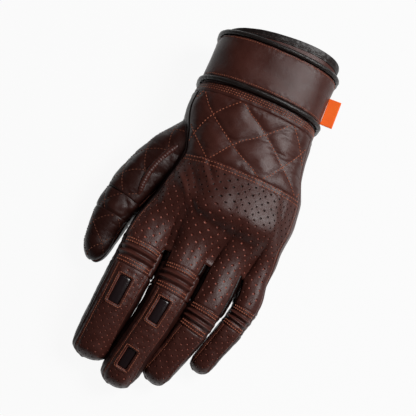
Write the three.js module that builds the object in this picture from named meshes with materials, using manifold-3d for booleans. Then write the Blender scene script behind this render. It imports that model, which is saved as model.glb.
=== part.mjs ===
// A left riding glove in leather, lying on its palm, with its fingers towards -Y and its thumb at -X.
// Millimetres, +Z up. The origin is on the flat underside of the palm patch, where the glove rests.
import * as THREE from "three";
import { mergeVertices } from "three/addons/utils/BufferGeometryUtils.js";
import Module from "manifold-3d";

const wasm = await Module();
wasm.setup();

// Hides and running gaps
const leather = 1.2; // one thickness of goat leather
const gap = 0.3; // between pieces that are sewn edge to edge
const liningInset = 2.35; // from the leather's face to the lining's face
const lining = 0.8; // thickness of the lining
const insertInset = 1.75; // from the leather's face to a window insert's face
const insert = 0.5; // thickness of a window insert
const weldShare = 0.004; // points nearer than this share of a gap are one

// The hand, from the cuff's rim to the webs between the fingers
const rimY = 120.5;
const bodyLength = 157;
const palmWidth = 101;
const palmDepth = 51;
const rowSlopeShare = 0.09; // how far each row across the hand leans forward at the thumb side
const handStations = [0, 0.07, 0.27, 0.334, 0.417, 0.513, 0.602, 0.736, 0.844, 0.927, 1];
const centreShares = [-0.089, -0.082, -0.058, -0.053, -0.036, 0.012, 0.066, 0.078, 0.067, 0.058, 0.052];
const widthShares = [0.782, 0.782, 0.792, 0.84, 0.86, 0.836, 0.855, 0.907, 0.925, 0.945, 0.965];
const floorShares = [0.12, 0.12, 0.112, 0.085, 0.062, 0.042, 0.034, 0.034, 0.034, 0.069, 0.2];
const topShares = [1.118, 1.118, 1.118, 1.078, 1.02, 1, 1.01, 1.03, 0.98, 0.92, 0.8];
const backRoundnessShare = 2.3; // exponent of the section's upper half
const palmRoundnessShare = 3.8; // exponent of its lower half, which is flatter

// Rows across the hand, as distances from the rim
const tapeWidth = 7;
const tapeClearance = 0.4; // between the wrist tape and the band's lower piping
const quiltLength = 42;
const quiltRows = 6; // four to a diamond
const backRows = 10;
const fingerRows = 2; // from a web to a finger's stretch panel
const morphStartShare = 0.45; // where the hand's back begins to turn into four fingers
const sideAngleShare = 0.122; // half the height of the side panels, as a share of half a turn
const fingerSideAngleShare = 0.178; // the same on the fingers

// The impact guard and the rise that it makes in the leather over the knuckles
const guardRise = 3.4;
const guardThickness = 3.2;
const guardCentreX = 16;
const guardCentreY = 5;
const guardLength = 36;
const guardWidth = 66;
const guardEdge = 8; // width of the slope round it

// The quilting: diamonds sewn through foam
const quiltColumns = 12; // four to a diamond
const pillow = 1.5;

// The webs, as places along Y
const outerIndexWebY = -43;
const indexMiddleWebY = -41.5;
const middleRingWebY = -38;
const ringLittleWebY = -32.5;
const outerLittleWebY = -30.5;

// Each digit: where its centre line starts, how long it is, and the stretch panel over its joint.
// Shares give the centre line and the girth at five even stations from base to tip.
const indexFinger = {
  baseX: -29.4,
  baseY: -39,
  baseZ: 26,
  tipZ: 8.6,
  length: 85,
  width: 29.5,
  depth: 26.6,
  tipRound: 11,
  jointAt: 14.5,
  flexReach: 8.5,
  leanShares: [0, 0, 0, 0, 0.01],
  dropShares: [0, -0.03, 0.12, 0.5, 1],
  widthShares: [1, 0.96, 0.92, 0.88, 0.86],
  depthShares: [1, 0.96, 0.92, 0.88, 0.84],
};
const middleFinger = {
  baseX: -0.3,
  baseY: -37,
  baseZ: 28,
  tipZ: 8.6,
  length: 95,
  width: 26.8,
  depth: 26.6,
  tipRound: 11,
  jointAt: 19.5,
  flexReach: 8.5,
  leanShares: [0, 0.005, -0.004, -0.034, -0.056],
  dropShares: [0, -0.04, 0.12, 0.5, 1],
  widthShares: [1, 0.955, 0.915, 0.88, 0.86],
  depthShares: [1, 0.96, 0.92, 0.88, 0.84],
};
const ringFinger = {
  baseX: 26,
  baseY: -32.5,
  baseZ: 26.5,
  tipZ: 8.2,
  length: 85.5,
  width: 22.6,
  depth: 25,
  tipRound: 10.5,
  jointAt: 38,
  flexReach: 8,
  leanShares: [0, 0.004, -0.014, -0.062, -0.121],
  dropShares: [0, -0.03, 0.12, 0.5, 1],
  widthShares: [1, 1.02, 1, 0.93, 0.85],
  depthShares: [1, 0.98, 0.94, 0.88, 0.82],
};
const littleFinger = {
  baseX: 46.5,
  baseY: -30,
  baseZ: 22.5,
  tipZ: 8,
  length: 68,
  width: 17.4,
  depth: 21.8,
  tipRound: 9,
  jointAt: 27,
  flexReach: 7.2,
  leanShares: [0, 0.037, 0.008, -0.053, -0.101],
  dropShares: [0, 0.01, 0.22, 0.56, 1],
  widthShares: [1, 1.03, 0.98, 0.93, 0.87],
  depthShares: [1, 0.98, 0.96, 0.92, 0.86],
};
const thumb = {
  baseX: -25,
  baseY: 46,
  baseZ: 22,
  tipZ: 10.4,
  length: 112,
  width: 33,
  depth: 32,
  tipRound: 14,
  jointAt: 80,
  flexReach: 7,
  leanShares: [0, -0.16, -0.255, -0.288, -0.272],
  dropShares: [0, 0.42, 0.6, 0.78, 1],
  widthShares: [1, 0.97, 0.9, 0.73, 0.48],
  depthShares: [1, 0.94, 0.88, 0.75, 0.58],
};
const digitRoundnessShare = 2.35;
const tipRoundnessShare = 2.4;

// The stretch panels and the windows on the fingers
const ridge = 0.9;
const indexWindowAt = 38.5;
const indexWindowLength = 17;
const middleWindowAt = 41.5;
const middleWindowLength = 15.5;
const tipWindowFromTip = 22.1;
const tipWindowLength = 13.5;
const windowMargin = 1.5; // how far an insert reaches past its window

// The cuff, whose mouth is cut on a slant: it falls back at the thumb side and under the wrist
const mouthFall = 5.3;
const mouthTiltShare = 0.092; // how much further forward it lies for each step towards the little finger
const mouthLeanShare = 0.21; // and for each step up
const bandStart = 11.5; // from the rim, at the band's upper edge
const bandLength = 30.5;
const bandThickness = 2;
const pipingRadius = 1.7;
const pipingOut = 2.2; // from the sleeve's face to the piping's centre
const bindingLength = 2.4;
const hookThickness = 0.9;
const flapThickness = 1.5;
const flapOut = 2.9; // from the sleeve's face to the flap's inner face
const flapEdgeShare = 0.235; // the flap's two edges, as shares of half a turn below the horizontal
const tabLength = 19;
const tabReach = 8.5;
const tabThickness = 1;
const tabAt = 30.5; // from the rim to the tab's middle

// The reinforcements on the palm
const patchLeft = -20;
const patchRight = 36;
const patchFront = -25;
const patchBack = 7;
const heelLeft = -16;
const heelRight = 34;
const heelFront = 13;
const heelBack = 46;
const padThickness = 1.8;

const { PI, abs, cos, sin, sign, sqrt, min, max } = Math;
const lerp = THREE.MathUtils.lerp;
const smooth = (value) => THREE.MathUtils.smoothstep(value, 0, 1);
const up = new THREE.Vector3(0, 0, 1);

// A smooth curve through values that stand at rising stations.
function through(stations, values, at) {
  const last = stations.length - 1;
  const place = min(max(at, stations[0]), stations[last]);
  const left = min(max(stations.findIndex((station) => station > place) - 1, 0), last - 1);
  const i = place >= stations[last] ? last - 1 : left;
  const slope = (k) => {
    const before = max(k - 1, 0);
    const after = min(k + 1, last);
    return (values[after] - values[before]) / (stations[after] - stations[before]);
  };
  const span = stations[i + 1] - stations[i];
  const t = (place - stations[i]) / span;
  const rise = values[i + 1] - values[i];
  const bend = slope(i) * span * (1 - t) - slope(i + 1) * span * t + rise * (2 * t - 1);
  return lerp(values[i], values[i + 1], t) + t * (1 - t) * bend;
}

// One coordinate of a rounded section: a power of the sine or cosine that keeps its sign.
const rounded = (value, exponent) => sign(value) * abs(value) ** (2 / exponent);

// Joins triangles, given as triples of points, into one closed geometry that faces outwards.
function closed(triangles) {
  const points = triangles.flat().flatMap((point) => point.toArray());
  const loose = new THREE.BufferGeometry();
  loose.setAttribute("position", new THREE.Float32BufferAttribute(points, 3));
  const merged = mergeVertices(loose, gap * weldShare);
  const corners = [...merged.index.array];
  const faces = [];
  for (let i = 0; i < corners.length; i += 3) {
    const [a, b, c] = corners.slice(i, i + 3);
    if (a !== b && b !== c && c !== a) faces.push([a, b, c]);
  }
  const at = (index) => new THREE.Vector3().fromBufferAttribute(merged.attributes.position, index);
  const volume = faces.reduce((sum, [a, b, c]) => sum + at(a).dot(at(b).cross(at(c))), 0);
  const outward = volume < 0 ? faces.map(([a, b, c]) => [a, c, b]) : faces;
  merged.setIndex(outward.flat());
  return merged;
}

// A skin between an outer and an inner layer of points, over cells that are rings of four keys.
function skin(cells, place) {
  const triangles = [];
  const rims = new Map();
  const quad = (a, b, c, d) => triangles.push([a, b, c], [a, c, d]);
  for (const cell of cells) {
    quad(...cell.map((key) => place(key, 0)));
    quad(...[...cell].reverse().map((key) => place(key, 1)));
    cell.forEach((from, i) => {
      const to = cell[(i + 1) % cell.length];
      if (!rims.delete(`${to}>${from}`)) rims.set(`${from}>${to}`, [from, to]);
    });
  }
  for (const [from, to] of rims.values()) {
    quad(place(to, 0), place(from, 0), place(from, 1), place(to, 1));
  }
  return closed(triangles);
}

// The cells of a grid, with keys that hold a row and a column. A loop's last column is its first.
function grid(rows, columns, { loop = false, keep = () => true } = {}) {
  const cells = [];
  const key = (row, column) => `${row},${loop ? column % columns : column}`;
  for (let row = 0; row < rows; row += 1) {
    for (let column = 0; column < columns; column += 1) {
      if (!keep(row, column)) continue;
      cells.push([key(row, column), key(row, column + 1), key(row + 1, column + 1), key(row + 1, column)]);
    }
  }
  return cells;
}

// A skin over a grid, where place(rowShare, columnShare, layer) gives each point.
function gridSkin(rows, columns, place, options) {
  return skin(grid(rows, columns, options), (key, layer) => {
    const [row, column] = key.split(",").map(Number);
    return place(row / rows, column / columns, layer);
  });
}

// A closed tube of rings, with both ends filled.
function solidTube(rows, columns, place) {
  const triangles = [];
  const ring = (row) => Array.from({ length: columns }, (_, column) => place(row / rows, column / columns));
  for (let row = 0; row < rows; row += 1) {
    const [from, to] = [ring(row), ring(row + 1)];
    from.forEach((point, i) => {
      const next = (i + 1) % columns;
      triangles.push([point, from[next], to[next]], [point, to[next], to[i]]);
    });
  }
  const cap = (points, turned) => {
    const centre = points.reduce((sum, point) => sum.add(point), new THREE.Vector3()).divideScalar(columns);
    points.forEach((point, i) => {
      const next = points[(i + 1) % columns];
      triangles.push(turned ? [centre, next, point] : [centre, point, next]);
    });
  };
  cap(ring(0), true);
  cap(ring(rows), false);
  return closed(triangles);
}

// Cuts one geometry by others and keeps the largest body that is left.
function cut(geometry, ...tools) {
  const solid = (shape) => {
    const bare = mergeVertices(shape, gap * weldShare);
    const vertProperties = bare.attributes.position.array;
    const triVerts = new Uint32Array(bare.index.array);
    return new wasm.Manifold(new wasm.Mesh({ numProp: 3, vertProperties, triVerts }));
  };
  const rest = tools.reduce((left, tool) => left.subtract(solid(tool)), solid(geometry));
  const bodies = rest.decompose().sort((a, b) => b.volume() - a.volume());
  const mesh = bodies[0].getMesh();
  const shape = new THREE.BufferGeometry();
  const positions = new Float32Array(mesh.vertProperties);
  shape.setAttribute("position", new THREE.BufferAttribute(positions, mesh.numProp));
  shape.setIndex([...mesh.triVerts]);
  return shape;
}

// Half a turn in shares: a share of 0 is +X, 0.5 is up and 1 is -X.
const turn = (share) => share * PI;

// A point on the hand: distance from the rim, share of half a turn, and depth below the leather's face.
function handPoint(distance, share, inset) {
  const station = distance / bodyLength;
  const centre = palmWidth * through(handStations, centreShares, station);
  const halfWidth = (palmWidth * through(handStations, widthShares, station)) / 2 - inset;
  const low = palmDepth * through(handStations, floorShares, station);
  const high = palmDepth * through(handStations, topShares, station);
  const angle = turn(share);
  const exponent = sin(angle) >= 0 ? backRoundnessShare : palmRoundnessShare;
  const across = halfWidth * rounded(cos(angle), exponent);
  const height = ((high - low) / 2 - inset) * rounded(sin(angle), exponent);
  const along = rimY - distance + rowSlopeShare * across;
  return new THREE.Vector3(centre + across, along, (high + low) / 2 + height);
}

// The same for the sleeve and the linings, whose mouth is slanted from the band's middle on.
function mouthPoint(distance, share, inset) {
  const fade = min(max((bandMiddle - distance) / (bandMiddle - bindingLength), 0), 1);
  const plain = handPoint(distance, share, inset);
  const centre = handPoint(distance, 0, 0).add(handPoint(distance, 1, 0)).divideScalar(2);
  const across = mouthTiltShare * (plain.x - centre.x);
  const above = mouthLeanShare * (plain.z - centre.z);
  return handPoint(distance + fade * (mouthFall - across - above), share, inset);
}

// How far the impact guard lifts the leather at a place on the hand's back.
function guardLift(x, y) {
  const side = smooth((guardWidth / 2 - abs(x - guardCentreX)) / guardEdge);
  const end = smooth((guardLength / 2 - abs(y - guardCentreY)) / guardEdge);
  return guardRise * side * end;
}

// The height of the quilting at a row and column, by the two sets of sewn lines, which cross at its nodes.
const quiltFirstColumn = 1; // the column of a crossing in the top row
function quiltLift(row, column) {
  const first = abs(sin((PI * (column - quiltFirstColumn + row)) / 4));
  const second = abs(sin((PI * (column - quiltFirstColumn - row)) / 4));
  return pillow * sqrt(min(first, second));
}

// A digit as a tube round a curve: a point by distance along it, share of half a turn and inset.
function digitTube(digit) {
  const stations = digit.leanShares.map((_, i) => i / (digit.leanShares.length - 1));
  const points = stations.map(
    (share, i) =>
      new THREE.Vector3(
        digit.baseX + digit.length * digit.leanShares[i],
        digit.baseY - digit.length * share,
        lerp(digit.baseZ, digit.tipZ, digit.dropShares[i]),
      ),
  );
  const path = new THREE.CatmullRomCurve3(points, false, "centripetal");
  const total = path.getLength();
  const point = (distance, share, inset) => {
    const end = total - inset;
    const place = min(max(distance, 0), end);
    const centre = path.getPointAt(min(place / total, 1));
    const along = path.getTangentAt(min(place / total, 1));
    const side = new THREE.Vector3().crossVectors(up, along).normalize();
    const above = new THREE.Vector3().crossVectors(along, side);
    const cap = digit.tipRound - inset;
    const into = max(0, (place - (end - cap)) / cap);
    const close = max(0, 1 - into ** tipRoundnessShare) ** (1 / tipRoundnessShare);
    const halfWidth = (digit.width * through(stations, digit.widthShares, place / total)) / 2 - inset;
    const halfDepth = (digit.depth * through(stations, digit.depthShares, place / total)) / 2 - inset;
    const angle = turn(share);
    return centre
      .addScaledVector(side, close * halfWidth * rounded(cos(angle), digitRoundnessShare))
      .addScaledVector(above, close * halfDepth * rounded(sin(angle), digitRoundnessShare));
  };
  return { ...digit, total, point };
}

const fingers = [
  { name: "index", ...digitTube(indexFinger), webBefore: outerIndexWebY, webAfter: indexMiddleWebY },
  { name: "middle", ...digitTube(middleFinger), webBefore: indexMiddleWebY, webAfter: middleRingWebY },
  { name: "ring", ...digitTube(ringFinger), webBefore: middleRingWebY, webAfter: ringLittleWebY },
  { name: "little", ...digitTube(littleFinger), webBefore: ringLittleWebY, webAfter: outerLittleWebY },
];
const thumbTube = { name: "thumb", ...digitTube(thumb) };

// Where a finger's tube starts at its web, which lies further forward at the thumb side.
function webDistance(finger, share) {
  const across = (1 + cos(turn(share))) / 2;
  return finger.baseY - lerp(finger.webBefore, finger.webAfter, across);
}

const glove = new THREE.Group();
const finishes = {
  leather: new THREE.MeshStandardMaterial({ color: 0x4a2620, roughness: 0.5, metalness: 0 }),
  quilt: new THREE.MeshStandardMaterial({ color: 0x4d2a24, roughness: 0.48, metalness: 0 }),
  black: new THREE.MeshStandardMaterial({ color: 0x1b1715, roughness: 0.4, metalness: 0 }),
  fabric: new THREE.MeshStandardMaterial({ color: 0x1d1a19, roughness: 0.9, metalness: 0 }),
  foam: new THREE.MeshStandardMaterial({ color: 0x2b2b2d, roughness: 0.8, metalness: 0 }),
  tab: new THREE.MeshStandardMaterial({ color: 0xff6a00, roughness: 0.7, metalness: 0 }),
};

function add(name, geometry, finish) {
  const mesh = new THREE.Mesh(geometry, finishes[finish]);
  mesh.name = name;
  glove.add(mesh);
}

// The places of the hand's rows, as distances from the rim.
const bandEnd = bandStart + bandLength;
const tapeStart = bandEnd + gap + 2 * pipingRadius + tapeClearance;
const sleeveStart = tapeStart + tapeWidth - gap;
const quiltStart = sleeveStart + gap;
const backStart = quiltStart + quiltLength + gap;
const handEnd = bodyLength;
const morphStart = lerp(backStart, handEnd, morphStartShare);

// The distances of the rows that the back, the palm and the side panels share.
const between = (from, to, count) => Array.from({ length: count + 1 }, (_, i) => lerp(from, to, i / count));
const backDistances = between(backStart, handEnd, backRows);
const wristDistances = between(quiltStart, backStart, quiltRows);
const palmDistances = [...wristDistances, ...backDistances.slice(1)];
const everySecond = (values) => values.filter((_, i) => i % 2 === 0);
const bandMiddle = bandStart + bandLength / 2;
const bandDistances = [bandStart, bandMiddle, bandEnd];
const sleeveDistances = [bindingLength + gap, ...bandDistances, tapeStart - gap];
const liningDistances = [...sleeveDistances, ...everySecond(palmDistances)];

// How far a row has turned from the hand's section into the fingers' sections.
const turnedAt = (distance) => smooth((distance - morphStart) / (handEnd - morphStart));

// A whole side of the glove, back or palm, that runs from the wrist into four tongues on the fingers.
// Columns go from the thumb side to the little finger. Its edges are shares of half a turn.
function handSheet({ distances, columns, handEdge, fingerEdge, palm, insets, lift, bump }) {
  const rows = distances.length - 1;
  const tongueRows = fingers.map(() => fingerRows);
  const perFinger = columns + 1;
  const webPoint = (finger, columnShare, inset) => {
    const share = palm
      ? lerp(1 + fingerEdge, 2 - fingerEdge, columnShare)
      : lerp(1 - fingerEdge, fingerEdge, columnShare);
    return { share, point: finger.point(webDistance(finger, share), share, inset) };
  };
  const firstX = webPoint(fingers[0], 0, 0).point.x;
  const lastX = webPoint(fingers[3], 1, 0).point.x;
  const place = (key, layer) => {
    const [row, column] = key.split(",").map(Number);
    const inset = insets[layer];
    const finger = fingers[Math.floor(column / perFinger)];
    const columnShare = (column % perFinger) / columns;
    const web = webPoint(finger, columnShare, inset);
    web.point.y += inset;
    if (row > rows) {
      const tongue = (row - rows) / tongueRows[fingers.indexOf(finger)];
      const distance = lerp(webDistance(finger, web.share), finger.jointAt - finger.flexReach, tongue);
      const point = finger.point(distance, web.share, inset);
      point.z += lift;
      return point;
    }
    const distance = distances[row];
    const outerX = webPoint(finger, columnShare, 0).point.x;
    const acrossShare = (outerX - firstX) / (lastX - firstX);
    const share = palm
      ? lerp(1 + handEdge, 2 - handEdge, acrossShare)
      : lerp(1 - handEdge, handEdge, acrossShare);
    const onHand = mouthPoint(distance, share, inset);
    const back = onHand.y - handPoint(handEnd, share, inset).y;
    const turned = turnedAt(distance);
    const onWeb = new THREE.Vector3(web.point.x, web.point.y + back, web.point.z);
    const point = onHand.clone().lerp(onWeb, turned);
    if (bump) point.z += guardLift(point.x, point.y) * (1 - turned * turned);
    point.z += lift;
    return point;
  };
  const most = max(...tongueRows);
  const keep = (row, column) => {
    if (row < rows) return true;
    const index = Math.floor(column / perFinger);
    return column % perFinger < columns && row - rows < tongueRows[index];
  };
  return skin(grid(rows + most, fingers.length * perFinger - 1, { keep }), place);
}

// A panel on a digit between two distances and two shares of half a turn.
function digitPanel(digit, { from, to, first, last, rowShares, columnShares, insets, lift, keep, rib }) {
  const rows = rowShares.length - 1;
  const columns = columnShares.length - 1;
  const cells = grid(rows, columns, { keep });
  return skin(cells, (key, layer) => {
    const [row, column] = key.split(",").map(Number);
    const inset = insets[layer] - (rib && layer === 0 ? rib(row, rows) : 0);
    const end = to ?? digit.total - inset;
    const distance = lerp(from, end, rowShares[row]);
    const share = lerp(first(rowShares[row]), last(rowShares[row]), columnShares[column]);
    return digit.point(distance, share, inset).add(lift);
  });
}

const evenShares = (count) => Array.from({ length: count + 1 }, (_, i) => i / count);
const raised = new THREE.Vector3(0, 0, gap);
const lowered = new THREE.Vector3(0, 0, -gap);
const level = new THREE.Vector3();
const leatherInsets = [0, leather];

// The side wall of a finger narrows to nothing just before the tip.
const sideEndShare = 0.93;
const sideStopShare = 0.915;
const sideAngle = (share) => fingerSideAngleShare * sqrt(max(0, 1 - (share / sideEndShare) ** 4));

// Rows and columns of the finger backs, with lines where a window's edges fall
const plainRowShares = [0, 0.18, 0.36, 0.54, 0.7, 0.83, sideStopShare, 0.97, 1];
const backColumnShares = [0, 0.19, 0.38, 0.62, 0.81, 1];
const windowColumn = 2;
const windowFirstShare = 0.6;
const windowLastShare = 0.4;

// The lining of a digit's moving half, closed at the tip.
const liningRowShares = [0, 0.36, 0.7, 0.83, sideStopShare, 0.97, 1];
const liningSides = 10;
function digitLining(digit) {
  const from = digit.jointAt + digit.flexReach;
  return skin(grid(liningRowShares.length - 1, liningSides, { loop: true }), (key, layer) => {
    const [row, column] = key.split(",").map(Number);
    const inset = liningInset + layer * lining;
    const distance = lerp(from, digit.total - inset, liningRowShares[row]);
    return digit.point(distance, (2 * column) / liningSides, inset);
  });
}

function fingerPieces(finger, windows) {
  const { name, jointAt, flexReach, total } = finger;
  const flexFrom = jointAt - flexReach + gap;
  const flexTo = jointAt + flexReach - gap;
  const from = jointAt + flexReach;
  const shareAt = (distance) => (distance - from) / (total - from);
  const edges = windows.flatMap(({ at, length }) => [shareAt(at - length / 2), shareAt(at + length / 2)]);
  const spare = plainRowShares.filter((share) => edges.every((edge) => abs(edge - share) > 0.06));
  const rowShares = [...spare, ...edges].sort((a, b) => a - b);
  const opens = (share, i) => share >= edges[i] && share < edges[i + 1];
  const inWindow = (share) => edges.some((_, i) => i % 2 === 0 && opens(share, i));
  const isWindow = (row, column) => column === windowColumn && inWindow(rowShares[row]);
  add(
    `${name}_back`,
    digitPanel(finger, {
      from,
      first: (share) => 1 - sideAngle(share),
      last: (share) => sideAngle(share),
      rowShares,
      columnShares: backColumnShares,
      insets: leatherInsets,
      lift: raised,
      keep: (row, column) => !isWindow(row, column),
    }),
    "leather",
  );
  add(
    `${name}_front`,
    digitPanel(finger, {
      from,
      first: (share) => 1 + sideAngle(share),
      last: (share) => 2 - sideAngle(share),
      rowShares: plainRowShares,
      columnShares: evenShares(5),
      insets: leatherInsets,
      lift: lowered,
    }),
    "leather",
  );
  const side = (middle) =>
    digitPanel(finger, {
      from,
      first: (share) => middle - sideAngle(share),
      last: (share) => middle + sideAngle(share),
      rowShares: rowShares.filter((share) => share <= sideStopShare),
      columnShares: evenShares(2),
      insets: leatherInsets,
      lift: level,
    });
  add(`${name}_thumb_side`, side(1), "leather");
  add(`${name}_outer_side`, side(0), "leather");
  add(
    `${name}_stretch_panel`,
    digitPanel(finger, {
      from: flexFrom,
      to: flexTo,
      first: () => 1 - fingerSideAngleShare,
      last: () => fingerSideAngleShare,
      rowShares: evenShares(8),
      columnShares: evenShares(4),
      insets: leatherInsets,
      lift: raised,
      rib: (row) => (row % 2 ? ridge : -gap / 2),
    }),
    "leather",
  );
  add(
    `${name}_crease`,
    digitPanel(finger, {
      from: flexFrom,
      to: flexTo,
      first: () => 1 - fingerSideAngleShare,
      last: () => 2 + fingerSideAngleShare,
      rowShares: evenShares(2),
      columnShares: evenShares(8),
      insets: leatherInsets,
      lift: lowered,
      rib: (row) => (row === 1 ? -gap : 0),
    }),
    "leather",
  );
  add(`${name}_lining`, digitLining(finger), "fabric");
  windows.forEach(({ label, at, length }) => {
    const [start, end] = [shareAt(at - length / 2), shareAt(at + length / 2)];
    const margin = windowMargin / (total - from);
    const inside = rowShares.filter((share) => share >= start && share <= end);
    add(
      label,
      digitPanel(finger, {
        from,
        first: () => windowFirstShare,
        last: () => windowLastShare,
        rowShares: [start - margin, ...inside, end + margin],
        columnShares: evenShares(2),
        insets: [insertInset, insertInset + insert],
        lift: raised,
      }),
      "black",
    );
  });
}

// The strip that lines a web: along one finger's side, round the crotch and along the next finger's side.
function webGusset(before, after) {
  const rows = 3;
  const turnBackShare = 0.035;
  const wall = (finger, middle, edge, toJoint, layer, across, atWeb) => {
    const reach = fingerSideAngleShare - (atWeb ? turnBackShare * (1 + layer) : 0);
    const share = middle + edge * lerp(-reach, reach, across);
    const web = webDistance(finger, middle);
    const distance = lerp(web, finger.jointAt - finger.flexReach, toJoint);
    const point = finger.point(distance, share, layer * leather);
    if (atWeb && layer === 1) point.y += leather;
    return point;
  };
  return skin(grid(2 * rows + 1, 2), (key, layer) => {
    const [row, column] = key.split(",").map(Number);
    const across = column / 2;
    if (row <= rows) return wall(before, 0, 1, (rows - row) / rows, layer, across, row === rows);
    return wall(after, 1, -1, (row - rows - 1) / rows, layer, across, row === rows + 1);
  });
}

// The quilting's cells, each split along the sewn line that crosses it.
function quiltCells() {
  return grid(2 * quiltRows, 2 * quiltColumns).map((cell) => {
    const [row, column] = cell[0].split(",").map(Number);
    const rising = (column - 2 * quiltFirstColumn + row + 1) % 8 === 0;
    return rising ? [...cell.slice(1), cell[0]] : cell;
  });
}

// A side panel of the hand, which runs on along the outer finger to its joint.
function sidePanel(finger, middle) {
  const rows = palmDistances.length - 1;
  return skin(grid(rows + fingerRows, 3), (key, layer) => {
    const [row, column] = key.split(",").map(Number);
    const across = lerp(-1, 1, column / 3);
    const inset = layer * leather;
    const onFinger = middle + across * fingerSideAngleShare;
    const web = webDistance(finger, onFinger);
    if (row > rows) {
      const reach = lerp(web, finger.jointAt - finger.flexReach, (row - rows) / fingerRows);
      return finger.point(reach, onFinger, inset);
    }
    const distance = palmDistances[row];
    const share = middle + across * sideAngleShare;
    const onHand = handPoint(distance, share, inset);
    const webPoint = finger.point(web, onFinger, inset);
    webPoint.y += inset + onHand.y - handPoint(handEnd, share, inset).y;
    return onHand.lerp(webPoint, turnedAt(distance));
  });
}

// The height of the hand's back and of its palm at a place seen from above, found along the surface.
const triesAcross = 60;
function heightAt(x, y, first) {
  const distance = rimY - y;
  const lean = rowSlopeShare * (x - handPoint(distance, 0.5, 0).x);
  const tries = between(first, first + 1, triesAcross).map((share) => handPoint(distance + lean, share, 0));
  return tries.reduce((best, point) => (abs(point.x - x) < abs(best.x - x) ? point : best)).z;
}
const backHeight = (x, y) => heightAt(x, y, 0);
const palmHeight = (x, y) => heightAt(x, y, 1);

// The tube of the thumb and the body of the hand as plain solids, which cut each other's openings.
const nearTipShare = 0.999;
const thumbSolid = (grow) =>
  solidTube(9, 16, (row, column) => thumbTube.point(row * thumbTube.total * nearTipShare, column * 2, -grow));
const handSolid = (grow) =>
  solidTube(10, 20, (row, column) => handPoint(lerp(sleeveStart / 2, handEnd, row), column * 2, -grow));

// Hand
const thumbTool = thumbSolid(2 * gap);
const handTool = handSolid(2 * gap);
const sheet = { columns: 5, handEdge: sideAngleShare, fingerEdge: fingerSideAngleShare };
const backSheet = { ...sheet, distances: backDistances, palm: false, lift: gap, bump: true };
const palmSheet = { ...sheet, distances: palmDistances, palm: true, lift: -gap, bump: false };
add("back_panel", handSheet({ ...backSheet, insets: leatherInsets }), "leather");
add(
  "quilted_panel",
  skin(quiltCells(), (key, layer) => {
    const [row, column] = key.split(",").map(Number);
    const rowShare = row / (2 * quiltRows);
    const columnShare = column / (2 * quiltColumns);
    const share = lerp(1 - sideAngleShare, sideAngleShare, columnShare);
    const point = handPoint(lerp(quiltStart, backStart - gap, rowShare), share, layer * leather);
    const fromEdge = min(rowShare, 1 - rowShare, 1 - abs(2 * columnShare - 1));
    const hem = fromEdge * quiltRows;
    if (layer === 0) point.z += quiltLift(row / 2, column / 2) * smooth(hem);
    point.z += gap;
    return point;
  }),
  "quilt",
);
const guardTool = handSheet({ ...backSheet, insets: [-guardRise, leather + gap] });
add(
  "knuckle_guard",
  cut(
    gridSkin(6, 8, (row, column, layer) => {
      const x = guardCentreX + (guardWidth - guardEdge) * lerp(-0.5, 0.5, column);
      const y = guardCentreY + (guardLength - guardEdge) * lerp(0.5, -0.5, row);
      const top = backHeight(x, y) + guardLift(x, y) - leather;
      return new THREE.Vector3(x, y, layer === 0 ? top : min(top - leather, backHeight(x, y) - leather));
    }),
    guardTool,
  ),
  "foam",
);
add("palm_panel", cut(handSheet({ ...palmSheet, insets: leatherInsets }), thumbTool), "leather");
const roundingShare = 0.1; // what the palm's facets take
const pad = (left, right, front, back) =>
  gridSkin(5, 8, (row, column, layer) => {
    const corner = smooth(min(row, 1 - row) * 5);
    const inside = lerp(0.06, 0, corner);
    const x = lerp(left, right, lerp(inside, 1 - inside, column));
    const y = lerp(back, front, row);
    const top = palmHeight(x, y) - 2 * gap - roundingShare * leather;
    return new THREE.Vector3(x, y, layer === 0 ? max(0, top - padThickness) : top);
  });
add("palm_patch", pad(patchLeft, patchRight, patchFront, patchBack), "leather");
add("heel_pad", pad(heelLeft, heelRight, heelFront, heelBack), "leather");
add("index_side_panel", cut(sidePanel(fingers[0], 1), thumbTool), "leather");
add("little_side_panel", sidePanel(fingers[3], 0), "leather");
for (let i = 0; i < 3; i += 1) {
  const [before, after] = [fingers[i], fingers[i + 1]];
  add(`web_gusset_${before.name}_${after.name}`, webGusset(before, after), "leather");
}
const liningSheet = {
  distances: liningDistances,
  columns: 3,
  handEdge: 0,
  fingerEdge: 0,
  insets: [liningInset, liningInset + lining],
  bump: false,
};
const backLining = handSheet({ ...liningSheet, palm: false, lift: gap / 2 });
const palmLining = handSheet({ ...liningSheet, palm: true, lift: -gap / 2 });
add("back_lining", cut(backLining, thumbTool), "fabric");
add("palm_lining", cut(palmLining, thumbTool), "fabric");

// Cuff
const ringSides = 24;
function ringShares(first, last) {
  const all = between(-2, 2, 2 * ringSides).filter((share) => share > first && share < last);
  return [first, ...all, last];
}

// A piece that goes round the cuff between two shares of half a turn, or all the way round.
function cuffPiece(distances, insets, first, last) {
  const whole = first === undefined;
  const pointAt = whole ? mouthPoint : handPoint;
  const shares = whole ? between(0, 2, ringSides) : ringShares(first, last);
  const cells = grid(distances.length - 1, shares.length - 1, { loop: whole });
  return skin(cells, (key, layer) => {
    const [row, column] = key.split(",").map(Number);
    return pointAt(distances[row], shares[column], insets[layer]);
  });
}
const bandFirst = -flapEdgeShare;
const bandLast = 1 + flapEdgeShare;
add("wrist_tape", cuffPiece([tapeStart, sleeveStart], leatherInsets), "leather");
add("cuff_sleeve", cuffPiece(sleeveDistances, leatherInsets), "leather");
add("rim_binding", cuffPiece([0, bindingLength], [0, liningInset + lining]), "black");
add("cuff_band", cuffPiece(bandDistances, [-gap - bandThickness, -gap], bandFirst, bandLast), "leather");

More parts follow.
